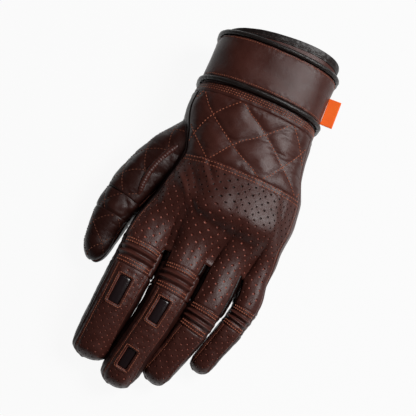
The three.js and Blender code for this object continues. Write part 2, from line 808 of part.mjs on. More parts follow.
// A round cord along the cuff, from one share of half a turn to another.
function piping(route, steps) {
  const sides = 6;
  const along = (share) => route(share).sub(route(share - 1 / (4 * steps))).normalize();
  return solidTube(steps, sides, (row, column) => {
    const centre = route(row);
    const ahead = row < 1 ? route(row + 1 / (4 * steps)).sub(centre).normalize() : along(row);
    const side = new THREE.Vector3().crossVectors(ahead, new THREE.Vector3(0, 1, 0)).normalize();
    const across = new THREE.Vector3().crossVectors(side, ahead);
    const angle = turn(2 * column);
    return centre
      .addScaledVector(side, pipingRadius * cos(angle))
      .addScaledVector(across, pipingRadius * sin(angle));
  });
}
const pipingStopShare = 0.008;
const pipingFirst = bandFirst + pipingStopShare;
const pipingLast = bandLast - pipingStopShare;
const bandPiping = (distance) =>
  piping((row) => handPoint(distance, lerp(pipingFirst, pipingLast, row), -pipingOut), 24);
add("band_piping_upper", bandPiping(bandStart - gap - pipingRadius), "black");
add("band_piping_lower", bandPiping(bandEnd + gap + pipingRadius), "black");

// The side tab is sewn into the band's edge at the little-finger side.
const tabShare = 0.01;
const tabRoot = handPoint(tabAt, tabShare, -gap - bandThickness - gap);
const tabShape = new THREE.BoxGeometry(tabReach, tabLength, tabThickness);
tabShape.translate(tabReach / 2, 0, 0);
tabShape.rotateZ(rowSlopeShare);
tabShape.translate(tabRoot.x, tabRoot.y, tabRoot.z);
add("side_tab", tabShape, "tab");

// The closure under the wrist
const foldShare = 0.012;
const flapFirst = -flapEdgeShare - foldShare;
const flapLast = -1 + flapEdgeShare;
const flapInsets = [-flapOut - flapThickness, -flapOut];
add("cuff_flap", cuffPiece(bandDistances, flapInsets, flapLast, flapFirst), "leather");
const hookInsets = [-flapOut + gap, -flapOut + gap + hookThickness];
const loopInsets = [-gap - hookThickness, -gap];
const tapeMargin = 3;
const tapeDistances = [bandStart + tapeMargin, bandMiddle, bandEnd - tapeMargin];
const tapeFirstShare = -0.72;
const hookLastShare = -0.5;
const loopLastShare = -0.42;
add("hook_tape", cuffPiece(tapeDistances, hookInsets, tapeFirstShare, hookLastShare), "fabric");
add("loop_tape", cuffPiece(tapeDistances, loopInsets, tapeFirstShare, loopLastShare), "fabric");

// Fingers
fingerPieces(fingers[0], [{ label: "index_window", at: indexWindowAt, length: indexWindowLength }]);
fingerPieces(fingers[1], [
  { label: "middle_window", at: middleWindowAt, length: middleWindowLength },
  { label: "middle_tip_window", at: fingers[1].total - tipWindowFromTip, length: tipWindowLength },
]);
fingerPieces(fingers[2], []);
fingerPieces(fingers[3], []);

// Thumb
const thumbFirstShare = 0.2;
const thumbTurnShare = 1.1;
const thumbPanel = (options) => digitPanel(thumbTube, { columnShares: evenShares(6), ...options });
const thumbJoint = thumb.jointAt - thumb.flexReach;
const thumbOut = new THREE.Vector3(-gap, 0, gap).multiplyScalar(Math.SQRT1_2);
const thumbIn = thumbOut.clone().negate();
const backArc = { first: () => thumbFirstShare, last: () => thumbFirstShare + thumbTurnShare };
const frontArc = { first: () => thumbFirstShare + thumbTurnShare, last: () => thumbFirstShare + 2 };
const baseRows = { from: 0, to: thumbJoint, rowShares: evenShares(6), insets: leatherInsets };
const tipRows = { from: thumb.jointAt + thumb.flexReach, insets: leatherInsets };
const thumbRowShares = [0, 0.25, 0.5, 0.7, 0.85, 0.95, 1];
add("thumb_base_back", cut(thumbPanel({ ...baseRows, ...backArc, lift: thumbOut }), handTool), "quilt");
add("thumb_base_front", cut(thumbPanel({ ...baseRows, ...frontArc, lift: thumbIn }), handTool), "leather");
const thumbTip = { ...tipRows, rowShares: thumbRowShares };
add("thumb_back", thumbPanel({ ...thumbTip, ...backArc, lift: thumbOut }), "quilt");
add("thumb_front", thumbPanel({ ...thumbTip, ...frontArc, lift: thumbIn }), "leather");
add("thumb_lining", digitLining(thumbTube), "fabric");
add(
  "thumb_crease",
  skin(grid(2, 12, { loop: true }), (key, layer) => {
    const [row, column] = key.split(",").map(Number);
    const reach = thumb.flexReach - gap;
    const inset = layer * leather + (layer === 0 && row === 1 ? gap : 0);
    return thumbTube.point(thumb.jointAt + lerp(-reach, reach, row / 2), column / 6, inset);
  }),
  "leather",
);

export default glove;
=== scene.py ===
# %% [markdown]
# # A leather riding glove
# A left glove lies on its palm with its fingers towards -Y. The frame that is loaded here holds its plain
# solids and the bodies that they move with. Each piece of the glove is then cut flat, wrapped on the
# shape of a hand, sewn and finished, and takes the place of its plain solid.
# %% Load the frame
import math

import bmesh
import bpy
import numpy as np
from mathutils import Matrix, Vector
from mathutils.kdtree import KDTree


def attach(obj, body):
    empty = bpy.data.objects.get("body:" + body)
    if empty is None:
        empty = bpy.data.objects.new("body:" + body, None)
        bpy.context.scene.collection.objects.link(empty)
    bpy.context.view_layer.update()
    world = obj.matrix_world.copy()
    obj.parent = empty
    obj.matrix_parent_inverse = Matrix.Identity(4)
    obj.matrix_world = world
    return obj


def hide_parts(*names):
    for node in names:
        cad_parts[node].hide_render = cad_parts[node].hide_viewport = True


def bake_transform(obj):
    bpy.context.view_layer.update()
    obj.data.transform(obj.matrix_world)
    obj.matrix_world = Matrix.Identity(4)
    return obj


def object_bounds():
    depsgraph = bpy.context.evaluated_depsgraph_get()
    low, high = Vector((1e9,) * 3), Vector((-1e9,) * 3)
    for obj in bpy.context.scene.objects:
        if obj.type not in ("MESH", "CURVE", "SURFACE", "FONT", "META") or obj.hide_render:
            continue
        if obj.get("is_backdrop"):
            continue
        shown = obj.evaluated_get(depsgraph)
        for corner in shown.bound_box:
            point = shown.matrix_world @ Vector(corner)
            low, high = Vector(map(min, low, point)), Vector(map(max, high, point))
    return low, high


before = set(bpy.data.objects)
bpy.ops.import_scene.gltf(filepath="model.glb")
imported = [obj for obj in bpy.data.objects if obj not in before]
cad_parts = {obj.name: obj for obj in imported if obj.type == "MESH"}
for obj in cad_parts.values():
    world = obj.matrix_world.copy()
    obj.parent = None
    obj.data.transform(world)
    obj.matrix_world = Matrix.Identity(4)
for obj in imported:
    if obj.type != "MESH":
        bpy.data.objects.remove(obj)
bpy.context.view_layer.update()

MM = 0.001
print("nodes to dress:", len(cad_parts))

# %% [markdown]
# ## The camera
# The glove is seen from high above its fingertips through a long lens, and the view is rolled, so that the
# fingers point down and to the left. A long lens keeps near and far parts at almost one scale.
# %% Place the camera
FRAME_PIXELS = 416
PIXEL = 0.66 * MM  # what one pixel of the picture covers on the glove
ROLL_COS, ROLL_SIN = 0.8829, 0.4695
across = Vector((1, 0, 0))
upward = Vector((0, 0.970, 0.242)).normalized()
towards = across.cross(upward)
aim = Vector((0, 0, 30 * MM)) + across * (-3.5 * MM) + upward * (-1.86 * MM)
camera_data = bpy.data.cameras.new("camera")
camera_data.lens = 200
camera_data.sensor_width = 36
camera = bpy.data.objects.new("camera", camera_data)
bpy.context.scene.collection.objects.link(camera)
distance_back = FRAME_PIXELS * PIXEL * camera_data.lens / camera_data.sensor_width
right = across * ROLL_COS + upward * ROLL_SIN
above = upward * ROLL_COS - across * ROLL_SIN
turned_view = Matrix((right, above, towards)).transposed().to_4x4()
camera.matrix_world = Matrix.Translation(aim + towards * distance_back) @ turned_view
camera_data.clip_end = 20
bpy.context.scene.camera = camera
print("camera stands off by", round(distance_back, 3), "m")

# %% [markdown]
# ## The hand that the leather is wrapped on
# A glove's shape comes from a hand. The hand is a stack of rounded sections whose middle, width, floor and
# top change from the wrist to the webs, and each finger is a tube round a smooth curve. A place on them is
# given by a distance along and a share of half a turn: 0 is the little finger's side, 0.5 the back, 1 the
# thumb's side and 1.5 the palm. Lengths are in millimetres until a mesh is written.
# %% Sizes of the hand
LEATHER = 1.2
GAP = 0.3
LINING_INSET = 2.35
LINING = 0.8
RIM_Y = 120.5
BODY_LENGTH = 157.0
PALM_WIDTH = 101.0
PALM_DEPTH = 51.0
ROW_SLOPE = 0.09
HAND_STATIONS = [0, 0.07, 0.27, 0.334, 0.417, 0.513, 0.602, 0.736, 0.844, 0.927, 1]
CENTRES = [-0.089, -0.082, -0.058, -0.053, -0.036, 0.012, 0.066, 0.078, 0.067, 0.058, 0.052]
WIDTHS = [0.782, 0.782, 0.792, 0.84, 0.86, 0.836, 0.855, 0.907, 0.925, 0.945, 0.965]
FLOORS = [0.12, 0.12, 0.112, 0.085, 0.062, 0.042, 0.034, 0.034, 0.034, 0.069, 0.2]
TOPS = [1.118, 1.118, 1.118, 1.078, 1.02, 1, 1.01, 1.03, 0.98, 0.92, 0.8]
BACK_ROUNDNESS = 2.3
PALM_ROUNDNESS = 3.8
DIGIT_ROUNDNESS = 2.35
TIP_ROUNDNESS = 2.4
BINDING = 2.4
BAND_START = 11.5
BAND_LENGTH = 30.5
BAND_END = BAND_START + BAND_LENGTH
BAND_MIDDLE = BAND_START + BAND_LENGTH / 2
PIPING_RADIUS = 1.7
TAPE_START = BAND_END + GAP + 2 * PIPING_RADIUS + 0.4
SLEEVE_START = TAPE_START + 7 - GAP
QUILT_START = SLEEVE_START + GAP
QUILT_LENGTH = 42.0
BACK_START = QUILT_START + QUILT_LENGTH + GAP
HAND_END = BODY_LENGTH
MORPH_START = BACK_START + 0.45 * (HAND_END - BACK_START)
MOUTH_FALL, MOUTH_TILT, MOUTH_LEAN = 5.3, 0.092, 0.21
HAND_EDGE = 0.122
FINGER_EDGE = 0.178


# %% The hand's surface
def smooth(value):
    """Eases from 0 to 1 without a corner at either end."""
    held = np.clip(value, 0, 1)
    return held * held * (3 - 2 * held)


def through(stations, values, at):
    """A smooth curve through values that stand at rising stations."""
    stations, values = np.asarray(stations, float), np.asarray(values, float)
    last = len(stations) - 1
    place = np.clip(at, stations[0], stations[last])
    i = np.clip(np.searchsorted(stations, place, side="right") - 1, 0, last - 1)
    before, after = np.maximum(np.arange(last + 1) - 1, 0), np.minimum(np.arange(last + 1) + 1, last)
    slopes = (values[after] - values[before]) / (stations[after] - stations[before])
    span = stations[i + 1] - stations[i]
    t = (place - stations[i]) / span
    rise = values[i + 1] - values[i]
    bend = slopes[i] * span * (1 - t) - slopes[i + 1] * span * t + rise * (2 * t - 1)
    return values[i] + rise * t + t * (1 - t) * bend


def rounded(value, exponent):
    """A sine or cosine squared off by an exponent over 2."""
    return np.sign(value) * np.abs(value) ** (2 / np.asarray(exponent, float))


def paired(first, second):
    """Two inputs as arrays of one shape."""
    return np.broadcast_arrays(np.asarray(first, float), np.asarray(second, float))


def hand_point(distance, share, inset=0.0):
    """Points on the hand, from distances back from the rim and shares of half a turn."""
    distance, share = paired(distance, share)
    station = distance / BODY_LENGTH
    centre = PALM_WIDTH * through(HAND_STATIONS, CENTRES, station)
    half_width = PALM_WIDTH * through(HAND_STATIONS, WIDTHS, station) / 2 - inset
    low = PALM_DEPTH * through(HAND_STATIONS, FLOORS, station)
    high = PALM_DEPTH * through(HAND_STATIONS, TOPS, station)
    angle = share * np.pi
    exponent = np.where(np.sin(angle) >= 0, BACK_ROUNDNESS, PALM_ROUNDNESS)
    side = half_width * rounded(np.cos(angle), exponent)
    height = ((high - low) / 2 - inset) * rounded(np.sin(angle), exponent)
    return np.stack([centre + side, RIM_Y - distance + ROW_SLOPE * side, (high + low) / 2 + height], axis=-1)


def mouth_point(distance, share, inset=0.0):
    """The same for the pieces that end at the cuff's slanted mouth."""
    distance, share = paired(distance, share)
    fade = np.clip((BAND_MIDDLE - distance) / (BAND_MIDDLE - BINDING), 0, 1)
    plain = hand_point(distance, share, inset)
    centre = (hand_point(distance, 0 * share) + hand_point(distance, 0 * share + 1)) / 2
    fall = MOUTH_FALL - MOUTH_TILT * (plain - centre)[..., 0] - MOUTH_LEAN * (plain - centre)[..., 2]
    return hand_point(distance + fade * fall, share, inset)


def section_over(x, y):
    """The section at a place seen from above: the place's share of its half width, its floor and its top."""
    side = np.zeros_like(x)
    for _ in range(4):
        station = np.clip((RIM_Y - y + ROW_SLOPE * side) / BODY_LENGTH, 0, 1)
        side = x - PALM_WIDTH * through(HAND_STATIONS, CENTRES, station)
    half_width = PALM_WIDTH * through(HAND_STATIONS, WIDTHS, station) / 2
    low = PALM_DEPTH * through(HAND_STATIONS, FLOORS, station)
    high = PALM_DEPTH * through(HAND_STATIONS, TOPS, station)
    return side / half_width, low, high


def face_height(x, y, way, roundness):
    """The height of the hand's back (way 1) or palm (way -1) over a place seen from above."""
    part, low, high = section_over(x, y)
    cosine = np.clip(np.abs(part), 0, 0.999) ** (roundness / 2)
    return (high + low) / 2 + way * (high - low) / 2 * np.sqrt(1 - cosine**2) ** (2 / roundness)


def guard_lift(x, y):
    """How far the impact guard under the knuckles lifts the leather."""
    side = smooth((36 - np.abs(x - 17)) / 13)
    end = smooth((y + 18) / 11) * (1 - smooth((y + 6) / 31))
    return 3.6 * side * end


def turned_at(distance):
    """How far a row has turned from the hand's section into the fingers'."""
    return smooth((distance - MORPH_START) / (HAND_END - MORPH_START))


print("palm at the knuckles:", np.round(np.ptp(hand_point(130, np.linspace(0, 2, 50))[:, 0]), 1), "mm wide")


# %% The fingers and the thumb
class Digit:
    """A tube round a smooth curve, narrowing to a rounded tip."""

    def __init__(self, name, start, tip_z, length, width, depth, tip_round, joint, reach, lean, drop,
                 widths, depths):
        self.name, self.start, self.length, self.width, self.depth = name, start, length, width, depth
        self.tip_round, self.joint, self.reach = tip_round, joint, reach
        self.widths, self.depths = widths, depths
        self.stations = np.linspace(0, 1, len(lean))
        marks = np.array([
            (start[0] + length * side, start[1] - length * share, start[2] + (tip_z - start[2]) * down)
            for share, side, down in zip(self.stations, lean, drop)
        ])
        self.path, self.run = smooth_path(marks)
        self.total = self.run[-1]
        self.heading = np.gradient(self.path, self.run, axis=0)

    def frame_at(self, distance):
        """Middle, sideways and upwards directions of the tube at a distance from its start."""
        place = np.clip(distance, 0, self.total)
        middle = np.stack([np.interp(place, self.run, self.path[:, k]) for k in range(3)], axis=-1)
        along = np.stack([np.interp(place, self.run, self.heading[:, k]) for k in range(3)], axis=-1)
        along /= np.linalg.norm(along, axis=-1, keepdims=True)
        side = np.cross((0.0, 0.0, 1.0), along)
        side /= np.linalg.norm(side, axis=-1, keepdims=True)
        return middle, side, np.cross(along, side)

    def point(self, distance, share, inset=0.0):
        distance, share = paired(distance, share)
        end = self.total - inset
        place = np.clip(distance, 0, end)
        middle, side, over = self.frame_at(place)
        cap = self.tip_round - inset
        into = np.maximum(0, (place - (end - cap)) / cap)
        close = np.maximum(0, 1 - into**TIP_ROUNDNESS) ** (1 / TIP_ROUNDNESS)
        at = place / self.total
        half_width = self.width * through(self.stations, self.widths, at) / 2 - inset
        half_depth = self.depth * through(self.stations, self.depths, at) / 2 - inset
        angle = share * np.pi
        sideways = close * half_width * rounded(np.cos(angle), DIGIT_ROUNDNESS)
        upwards = close * half_depth * rounded(np.sin(angle), DIGIT_ROUNDNESS)
        return middle + side * sideways[..., None] + over * upwards[..., None]

    def rows_to_tip(self, start, cell):
        """Distances of rows one cell apart from a start to the tip, following the tip's rounding."""
        turn_at = self.total - self.tip_round
        straight = max(2, round((turn_at - start) / cell))
        cap = max(6, round(self.tip_round * 1.45 / cell))
        bend = np.linspace(0, np.pi / 2, cap + 1)[1:]
        capped = turn_at + self.tip_round * np.sin(bend) ** (2 / TIP_ROUNDNESS)
        return np.concatenate([np.linspace(start, turn_at, straight + 1), capped])


def run_along(line):
    """The length run from a line's start to each of its points."""
    return np.concatenate([[0], np.cumsum(np.linalg.norm(np.diff(line, axis=0), axis=1))])


def smooth_path(marks, steps=240):
    """A centripetal curve through the marks, as points and the length run to each."""
    ends = [2 * marks[0] - marks[1], *marks, 2 * marks[-1] - marks[-2]]
    points = []
    for i in range(len(marks) - 1):
        p0, p1, p2, p3 = ends[i : i + 4]
        d0, d1, d2 = (np.sqrt(np.linalg.norm(b - a)) for a, b in ((p0, p1), (p1, p2), (p2, p3)))
        t1 = ((p1 - p0) / d0 - (p2 - p0) / (d0 + d1) + (p2 - p1) / d1) * d1
        t2 = ((p2 - p1) / d1 - (p3 - p1) / (d1 + d2) + (p3 - p2) / d2) * d1
        t = np.linspace(0, 1, steps, endpoint=i == len(marks) - 2)[:, None]
        c2, c3 = -3 * p1 + 3 * p2 - 2 * t1 - t2, 2 * p1 - 2 * p2 + t1 + t2
        points.append(p1 + t1 * t + c2 * t**2 + c3 * t**3)
    points = np.concatenate(points)
    return points, run_along(points)


INDEX = Digit("index", (-29.4, -39, 26), 8.6, 85, 29.5, 26.6, 11, 14.5, 8.5,
              [0, 0, 0, 0, 0.01], [0, -0.03, 0.12, 0.5, 1],
              [1, 0.96, 0.92, 0.88, 0.86], [1, 0.96, 0.92, 0.88, 0.84])
MIDDLE = Digit("middle", (-0.3, -37, 28), 8.6, 95, 26.8, 26.6, 11, 19.5, 8.5,
               [0, 0.005, -0.004, -0.034, -0.056], [0, -0.04, 0.12, 0.5, 1],
               [1, 0.955, 0.915, 0.88, 0.86], [1, 0.96, 0.92, 0.88, 0.84])
RING = Digit("ring", (26, -32.5, 26.5), 8.2, 85.5, 22.6, 25, 10.5, 38, 8,
             [0, 0.004, -0.014, -0.062, -0.121], [0, -0.03, 0.12, 0.5, 1],
             [1, 1.02, 1, 0.93, 0.85], [1, 0.98, 0.94, 0.88, 0.82])
LITTLE = Digit("little", (46.5, -30, 22.5), 8, 68, 17.4, 21.8, 9, 27, 7.2,
               [0, 0.037, 0.008, -0.053, -0.101], [0, 0.01, 0.22, 0.56, 1],
               [1, 1.03, 0.98, 0.93, 0.87], [1, 0.98, 0.96, 0.92, 0.86])
THUMB = Digit("thumb", (-25, 46, 22), 10.4, 112, 33, 32, 14, 80, 7,
              [0, -0.16, -0.255, -0.288, -0.272], [0, 0.42, 0.6, 0.78, 1],
              [1, 0.97, 0.9, 0.73, 0.48], [1, 0.94, 0.88, 0.75, 0.58])
FINGERS = [INDEX, MIDDLE, RING, LITTLE]
WEBS = [-43, -41.5, -38, -32.5, -30.5]
for digit, before, after in zip(FINGERS, WEBS, WEBS[1:]):
    digit.web_before, digit.web_after = before, after
print("finger lengths:", {digit.name: round(digit.total, 1) for digit in FINGERS + [THUMB]})


def web_distance(finger, share):
    """Where a finger's tube starts at its web."""
    over = (1 + np.cos(np.asarray(share, float) * np.pi)) / 2
    return finger.start[1] - (finger.web_before + (finger.web_after - finger.web_before) * over)


# %% [markdown]
# ## Leather, cloth and thread
# Goat leather has a fine pebbled grain, a soft waxy shine and a colour that is paler where an edge rubs;
# its creases and grooves are darkened as painted shade. The grain is a cell pattern that is bent by noise,
# small cells in large ones. The colour reads numbers that a piece stores at its points: "hole" is how deep
# in a punched hole a point lies, darkened there as painted shade, "raw" how far reddish raw leather shows in
# the hole instead, "proud" how far the point stands proud of its neighbours, paler where high and darkened
# as painted shade where low, and "shade" how much painted shade it gets down between two fingers.
# %% Finishes
def new_finish(name, roughness, specular=0.5):
    """A material and a helper that adds nodes to it."""
    material = bpy.data.materials.new(name)
    material.use_nodes = True
    tree = material.node_tree
    shader = tree.nodes["Principled BSDF"]
    shader.inputs["Roughness"].default_value = roughness
    shader.inputs["Specular IOR Level"].default_value = specular

    def add(kind, settings=None, **sockets):
        node = tree.nodes.new(kind)
        for key, value in (settings or {}).items():
            setattr(node, key, value)
        for key, value in sockets.items():
            socket = node.inputs[int(key[1:])] if key[0] == "i" and key[1:].isdigit() else node.inputs[key]
            if isinstance(value, bpy.types.NodeSocket):
                tree.links.new(value, socket)
            else:
                socket.default_value = value
        return node

    def join(output, socket):
        tree.links.new(output, shader.inputs[socket])

    return material, add, join


def mixed(add, factor, first, second, kind="MIX"):
    """One colour laid over another by a factor."""
    node = add("ShaderNodeMix", {"data_type": "RGBA", "blend_type": kind}, i0=factor, i6=first, i7=second)
    return node.outputs[2]


def spread(add, value, low, high, to_low=0.0, to_high=1.0):
    """Stretches a value's range, clamped."""
    node = add("ShaderNodeMapRange", None, Value=value)
    for key, amount in zip(("From Min", "From Max", "To Min", "To Max"), (low, high, to_low, to_high)):
        node.inputs[key].default_value = amount
    return node.outputs["Result"]


def leather_finish(name, deep, body, rubbed, cell=1.0, grain=0.2, roughness=(0.34, 0.44), specular=0.27):
    """Grained leather: a deep colour for its grain's edges, its darker patches and its painted shade, a face colour, a
    rubbed colour, and the grain's cell in mm.
    """
    material, add, join = new_finish(name, roughness[0], specular)
    place = add("ShaderNodeTexCoord").outputs["Object"]
    bend = add("ShaderNodeTexNoise", Vector=place, Scale=420.0, Detail=2.0).outputs["Color"]
    bent = add("ShaderNodeMix", {"data_type": "VECTOR"}, i0=0.0011, i4=place, i5=bend).outputs[1]
    cells = add("ShaderNodeTexVoronoi", {"feature": "DISTANCE_TO_EDGE"}, Vector=bent, Scale=1000.0 / cell)
    small = add("ShaderNodeTexVoronoi", {"feature": "DISTANCE_TO_EDGE"}, Vector=bent, Scale=2300.0 / cell)
    pores = add("ShaderNodeTexNoise", Vector=place, Scale=3200.0, Detail=3.0).outputs["Fac"]
    large = spread(add, cells.outputs["Distance"], 0.0, 0.16)
    fine = spread(add, small.outputs["Distance"], 0.0, 0.2)
    both = add("ShaderNodeMath", {"operation": "MULTIPLY_ADD"}, i0=fine, i1=0.35, i2=large).outputs[0]
    height = add("ShaderNodeMath", {"operation": "MULTIPLY_ADD"}, i0=pores, i1=0.5, i2=both).outputs[0]
    cloud = add("ShaderNodeTexNoise", Vector=place, Scale=38.0, Detail=4.0).outputs["Fac"]
    patch = add("ShaderNodeTexNoise", Vector=place, Scale=160.0, Detail=5.0, Roughness=0.6).outputs["Fac"]
    tone = mixed(add, spread(add, cloud, 0.3, 0.7, 0.5, 1.0), (*deep, 1), (*body, 1))
    tone = mixed(add, spread(add, patch, 0.35, 0.75, 0.0, 0.22), tone, (*rubbed, 1))
    tone = mixed(add, spread(add, large, 0.0, 1.0, 0.35, 0.0), tone, (*deep, 1))
    # Proud places take the rubbed colour; low places, in grooves and creases, are darkened as painted shade.
    proud = add("ShaderNodeAttribute", {"attribute_name": "proud"}).outputs["Fac"]
    tone = mixed(add, spread(add, proud, 0.25, 1.0, 0.0, 0.35), tone, (*rubbed, 1))
    tone = mixed(add, spread(add, proud, -0.25, -1.0, 0.0, 0.35), tone, tuple(0.5 * c for c in deep) + (1,))
    # Painted shade where a piece lies down between two fingers.
    shade = add("ShaderNodeAttribute", {"attribute_name": "shade"}).outputs["Fac"]
    tone = mixed(add, shade, tone, tuple(0.4 * c for c in deep) + (1,))
    # Deep in a hole the colour turns near-black as painted shade, and to reddish raw leather where "raw" is set; the
    # hole's rim takes the rubbed colour.
    hole = add("ShaderNodeAttribute", {"attribute_name": "hole"}).outputs["Fac"]
    raw = add("ShaderNodeAttribute", {"attribute_name": "raw"}).outputs["Fac"]
    inside = mixed(add, raw, (0.008, 0.0035, 0.0025, 1), (0.27, 0.08, 0.055, 1))
    raw_edge = mixed(add, spread(add, hole, 0.05, 0.5), (*rubbed, 1), inside)
    tone = mixed(add, spread(add, hole, 0.02, 0.15), tone, raw_edge)
    join(tone, "Base Color")
    shine = spread(add, patch, 0.3, 0.8, roughness[0], roughness[1])
    join(shine, "Roughness")
    bump = add("ShaderNodeBump", None, Height=height, Strength=grain, Distance=0.00022)
    join(bump.outputs["Normal"], "Normal")
    return material


DEEP, FACE, RUBBED = (0.025, 0.0065, 0.0045), (0.053, 0.0145, 0.0104), (0.105, 0.035, 0.026)
# A darker copy of the brown leather is painted shade: it dresses the thumb, the index side panel, the fingers' side
# walls and the webs.
SHADE_DARKENING = 0.46
shaded_tones = [tuple(SHADE_DARKENING * c for c in tone) for tone in (DEEP, FACE, RUBBED)]
brown_leather = leather_finish("brown leather", DEEP, FACE, RUBBED)
smooth_leather = leather_finish("smooth brown leather", DEEP, FACE, RUBBED, cell=0.8)
quilt_leather = leather_finish("quilted brown leather", DEEP, FACE, RUBBED, cell=0.9)
shaded_leather = leather_finish("dark brown leather", *shaded_tones, cell=0.9, specular=0.2)
binding_leather = leather_finish(
    "binding leather", (0.006, 0.004, 0.0036), (0.011, 0.0072, 0.0064), (0.018, 0.0125, 0.0115),
    cell=0.7, grain=0.14, roughness=(0.36, 0.44), specular=0.3)
window_leather = leather_finish(
    "window leather", (0.007, 0.0034, 0.0038), (0.011, 0.0055, 0.0062), (0.017, 0.009, 0.0105),
    cell=0.6, grain=0.1, roughness=(0.22, 0.3), specular=0.45)
piping_leather = leather_finish(
    "piping leather", (0.008, 0.006, 0.0055), (0.016, 0.012, 0.011), (0.05, 0.042, 0.04),
    cell=0.7, grain=0.22, roughness=(0.2, 0.32))


def thread_finish(name, dark, pale, deep):
    """Twisted thread, with its strands as fine slanted bands."""
    material, add, join = new_finish(name, 0.6, 0.25)
    place = add("ShaderNodeTexCoord").outputs["Object"]
    strands = add("ShaderNodeTexWave", {"bands_direction": "DIAGONAL"},
                  Vector=place, Scale=1900.0, Distortion=2.0).outputs["Fac"]
    speck = add("ShaderNodeTexNoise", Vector=place, Scale=260.0, Detail=2.0).outputs["Fac"]
    tone = mixed(add, spread(add, speck, 0.3, 0.7), (*dark, 1), (*pale, 1))
    tone = mixed(add, spread(add, strands, 0.0, 0.5, 0.35, 0.0), tone, (*deep, 1))
    join(tone, "Base Color")
    bump = add("ShaderNodeBump", None, Height=strands, Strength=0.5, Distance=0.0001)
    join(bump.outputs["Normal"], "Normal")
    return material


thread = thread_finish("red brown thread", (0.25, 0.062, 0.03), (0.42, 0.14, 0.078), (0.10, 0.024, 0.014))
dark_thread = thread_finish("dark thread", (0.03, 0.014, 0.011), (0.06, 0.03, 0.025), (0.015, 0.008, 0.007))
# A darker copy of the red brown thread is painted shade on the thumb's quilting.
shaded_thread = thread_finish("thumb thread", (0.10, 0.026, 0.013), (0.17, 0.055, 0.03), (0.04, 0.011, 0.007))


def cloth_finish(name, dark, pale, weave=1100.0, fuzz=0.3, roughness=0.85):
    """Woven cloth: two sets of fine ribs that cross, with a soft sheen."""
    material, add, join = new_finish(name, roughness, 0.25)
    material.node_tree.nodes["Principled BSDF"].inputs["Sheen Weight"].default_value = fuzz
    place = add("ShaderNodeTexCoord").outputs["Object"]
    warp, weft = [
        add("ShaderNodeTexWave", {"bands_direction": way}, Vector=place, Scale=weave / 3, Distortion=0.6).outputs["Fac"]
        for way in "XY"]
    woven = add("ShaderNodeMath", {"operation": "MULTIPLY"}, i0=warp, i1=weft).outputs[0]
    cloud = add("ShaderNodeTexNoise", Vector=place, Scale=90.0, Detail=4.0).outputs["Fac"]
    tone = mixed(add, spread(add, cloud, 0.3, 0.7), (*dark, 1), (*pale, 1))
    tone = mixed(add, spread(add, woven, 0.0, 0.5, 0.5, 0.0), tone, tuple(0.5 * c for c in dark) + (1,))
    join(tone, "Base Color")
    bump = add("ShaderNodeBump", None, Height=woven, Strength=0.6, Distance=0.0002)
    join(bump.outputs["Normal"], "Normal")
    return material


lining_cloth = cloth_finish("lining cloth", (0.016, 0.013, 0.012), (0.035, 0.029, 0.027))
orange_tape = cloth_finish("orange tape", (1.0, 0.115, 0.002), (1.0, 0.16, 0.004), 1500.0, 0.1, 0.6)
closure_tape = cloth_finish("closure tape", (0.010, 0.010, 0.010), (0.03, 0.03, 0.03), 2200.0, 0.6, 0.95)
guard_foam = cloth_finish("guard foam", (0.03, 0.03, 0.033), (0.05, 0.05, 0.055), 700.0, 0.0, 0.9)
print("finishes:", [material.name for material in bpy.data.materials])

# %% [markdown]
# ## Cutting a piece flat and wrapping it
# Leather is cut flat, punched flat and only then sewn over the hand's shape, so the pieces are made that way
# here. A grid is the flat sheet, one cell to a unit. Extruding it gives the leather its thickness, insetting
# single faces punches its holes, and one level of subdivision rounds the cut edges and the holes. Then
# every point is laid on the hand's surface, as high above it as it was above the flat sheet.
# %% Cut, punch and wrap
def clear_selection():
    """Deselects every object."""
    bpy.ops.object.select_all(action="DESELECT")


def work_on(piece):
    """Selects one object alone and makes it the active one."""
    clear_selection()
    piece.select_set(True)
    bpy.context.view_layer.objects.active = piece


def modify(piece, kind, **settings):
    """Adds a modifier to the active piece and applies it."""
    bpy.ops.object.modifier_add(type=kind)
    modifier = piece.modifiers[-1]
    for key, value in settings.items():
        setattr(modifier, key, value)
    bpy.ops.object.modifier_apply(modifier=modifier.name)


def points_of(piece):
    """A mesh's points as rows of an array."""
    points = np.empty(len(piece.data.vertices) * 3)
    piece.data.vertices.foreach_get("co", points)
    return points.reshape(-1, 3)


def move_points(piece, points):
    """Puts a mesh's points on new places."""
    piece.data.vertices.foreach_set("co", points.astype(np.float32).ravel())


def flat_grid(name, columns, rows):
    """A flat grid with one cell to a unit and its first corner at the origin."""
    clear_selection()
    bpy.ops.mesh.primitive_grid_add(x_subdivisions=columns, y_subdivisions=rows, size=1)
    sheet = bpy.context.object
    sheet.name = sheet.data.name = name
    sheet.scale, sheet.location = (columns, rows, 1), (columns / 2, rows / 2, 0)
    bpy.ops.object.transform_apply(location=True, scale=True)
    return sheet


def join_and_face_out(piece):
    """Joins points that fell together and turns the faces of a closed piece outwards."""
    bpy.ops.object.mode_set(mode="EDIT")
    bpy.ops.mesh.select_all(action="SELECT")
    bpy.ops.mesh.remove_doubles(threshold=0.002 * MM)
    bpy.ops.mesh.select_mode(type="FACE")
    if bmesh.from_edit_mesh(piece.data).calc_volume(signed=True) < 0:
        bpy.ops.mesh.flip_normals()
    bpy.ops.object.mode_set(mode="OBJECT")


def pick_faces(sheet, wanted):
    """Selects, in edit mode, the faces whose middle is wanted."""
    bpy.ops.mesh.select_mode(type="FACE")
    bpy.ops.mesh.select_all(action="DESELECT")
    mesh = bmesh.from_edit_mesh(sheet.data)
    found = 0
    for face in mesh.faces:
        middle = face.calc_center_median()
        if wanted(middle.x, middle.y, middle.z):
            face.select_set(True)
            found += 1
    bmesh.update_edit_mesh(sheet.data)
    return found


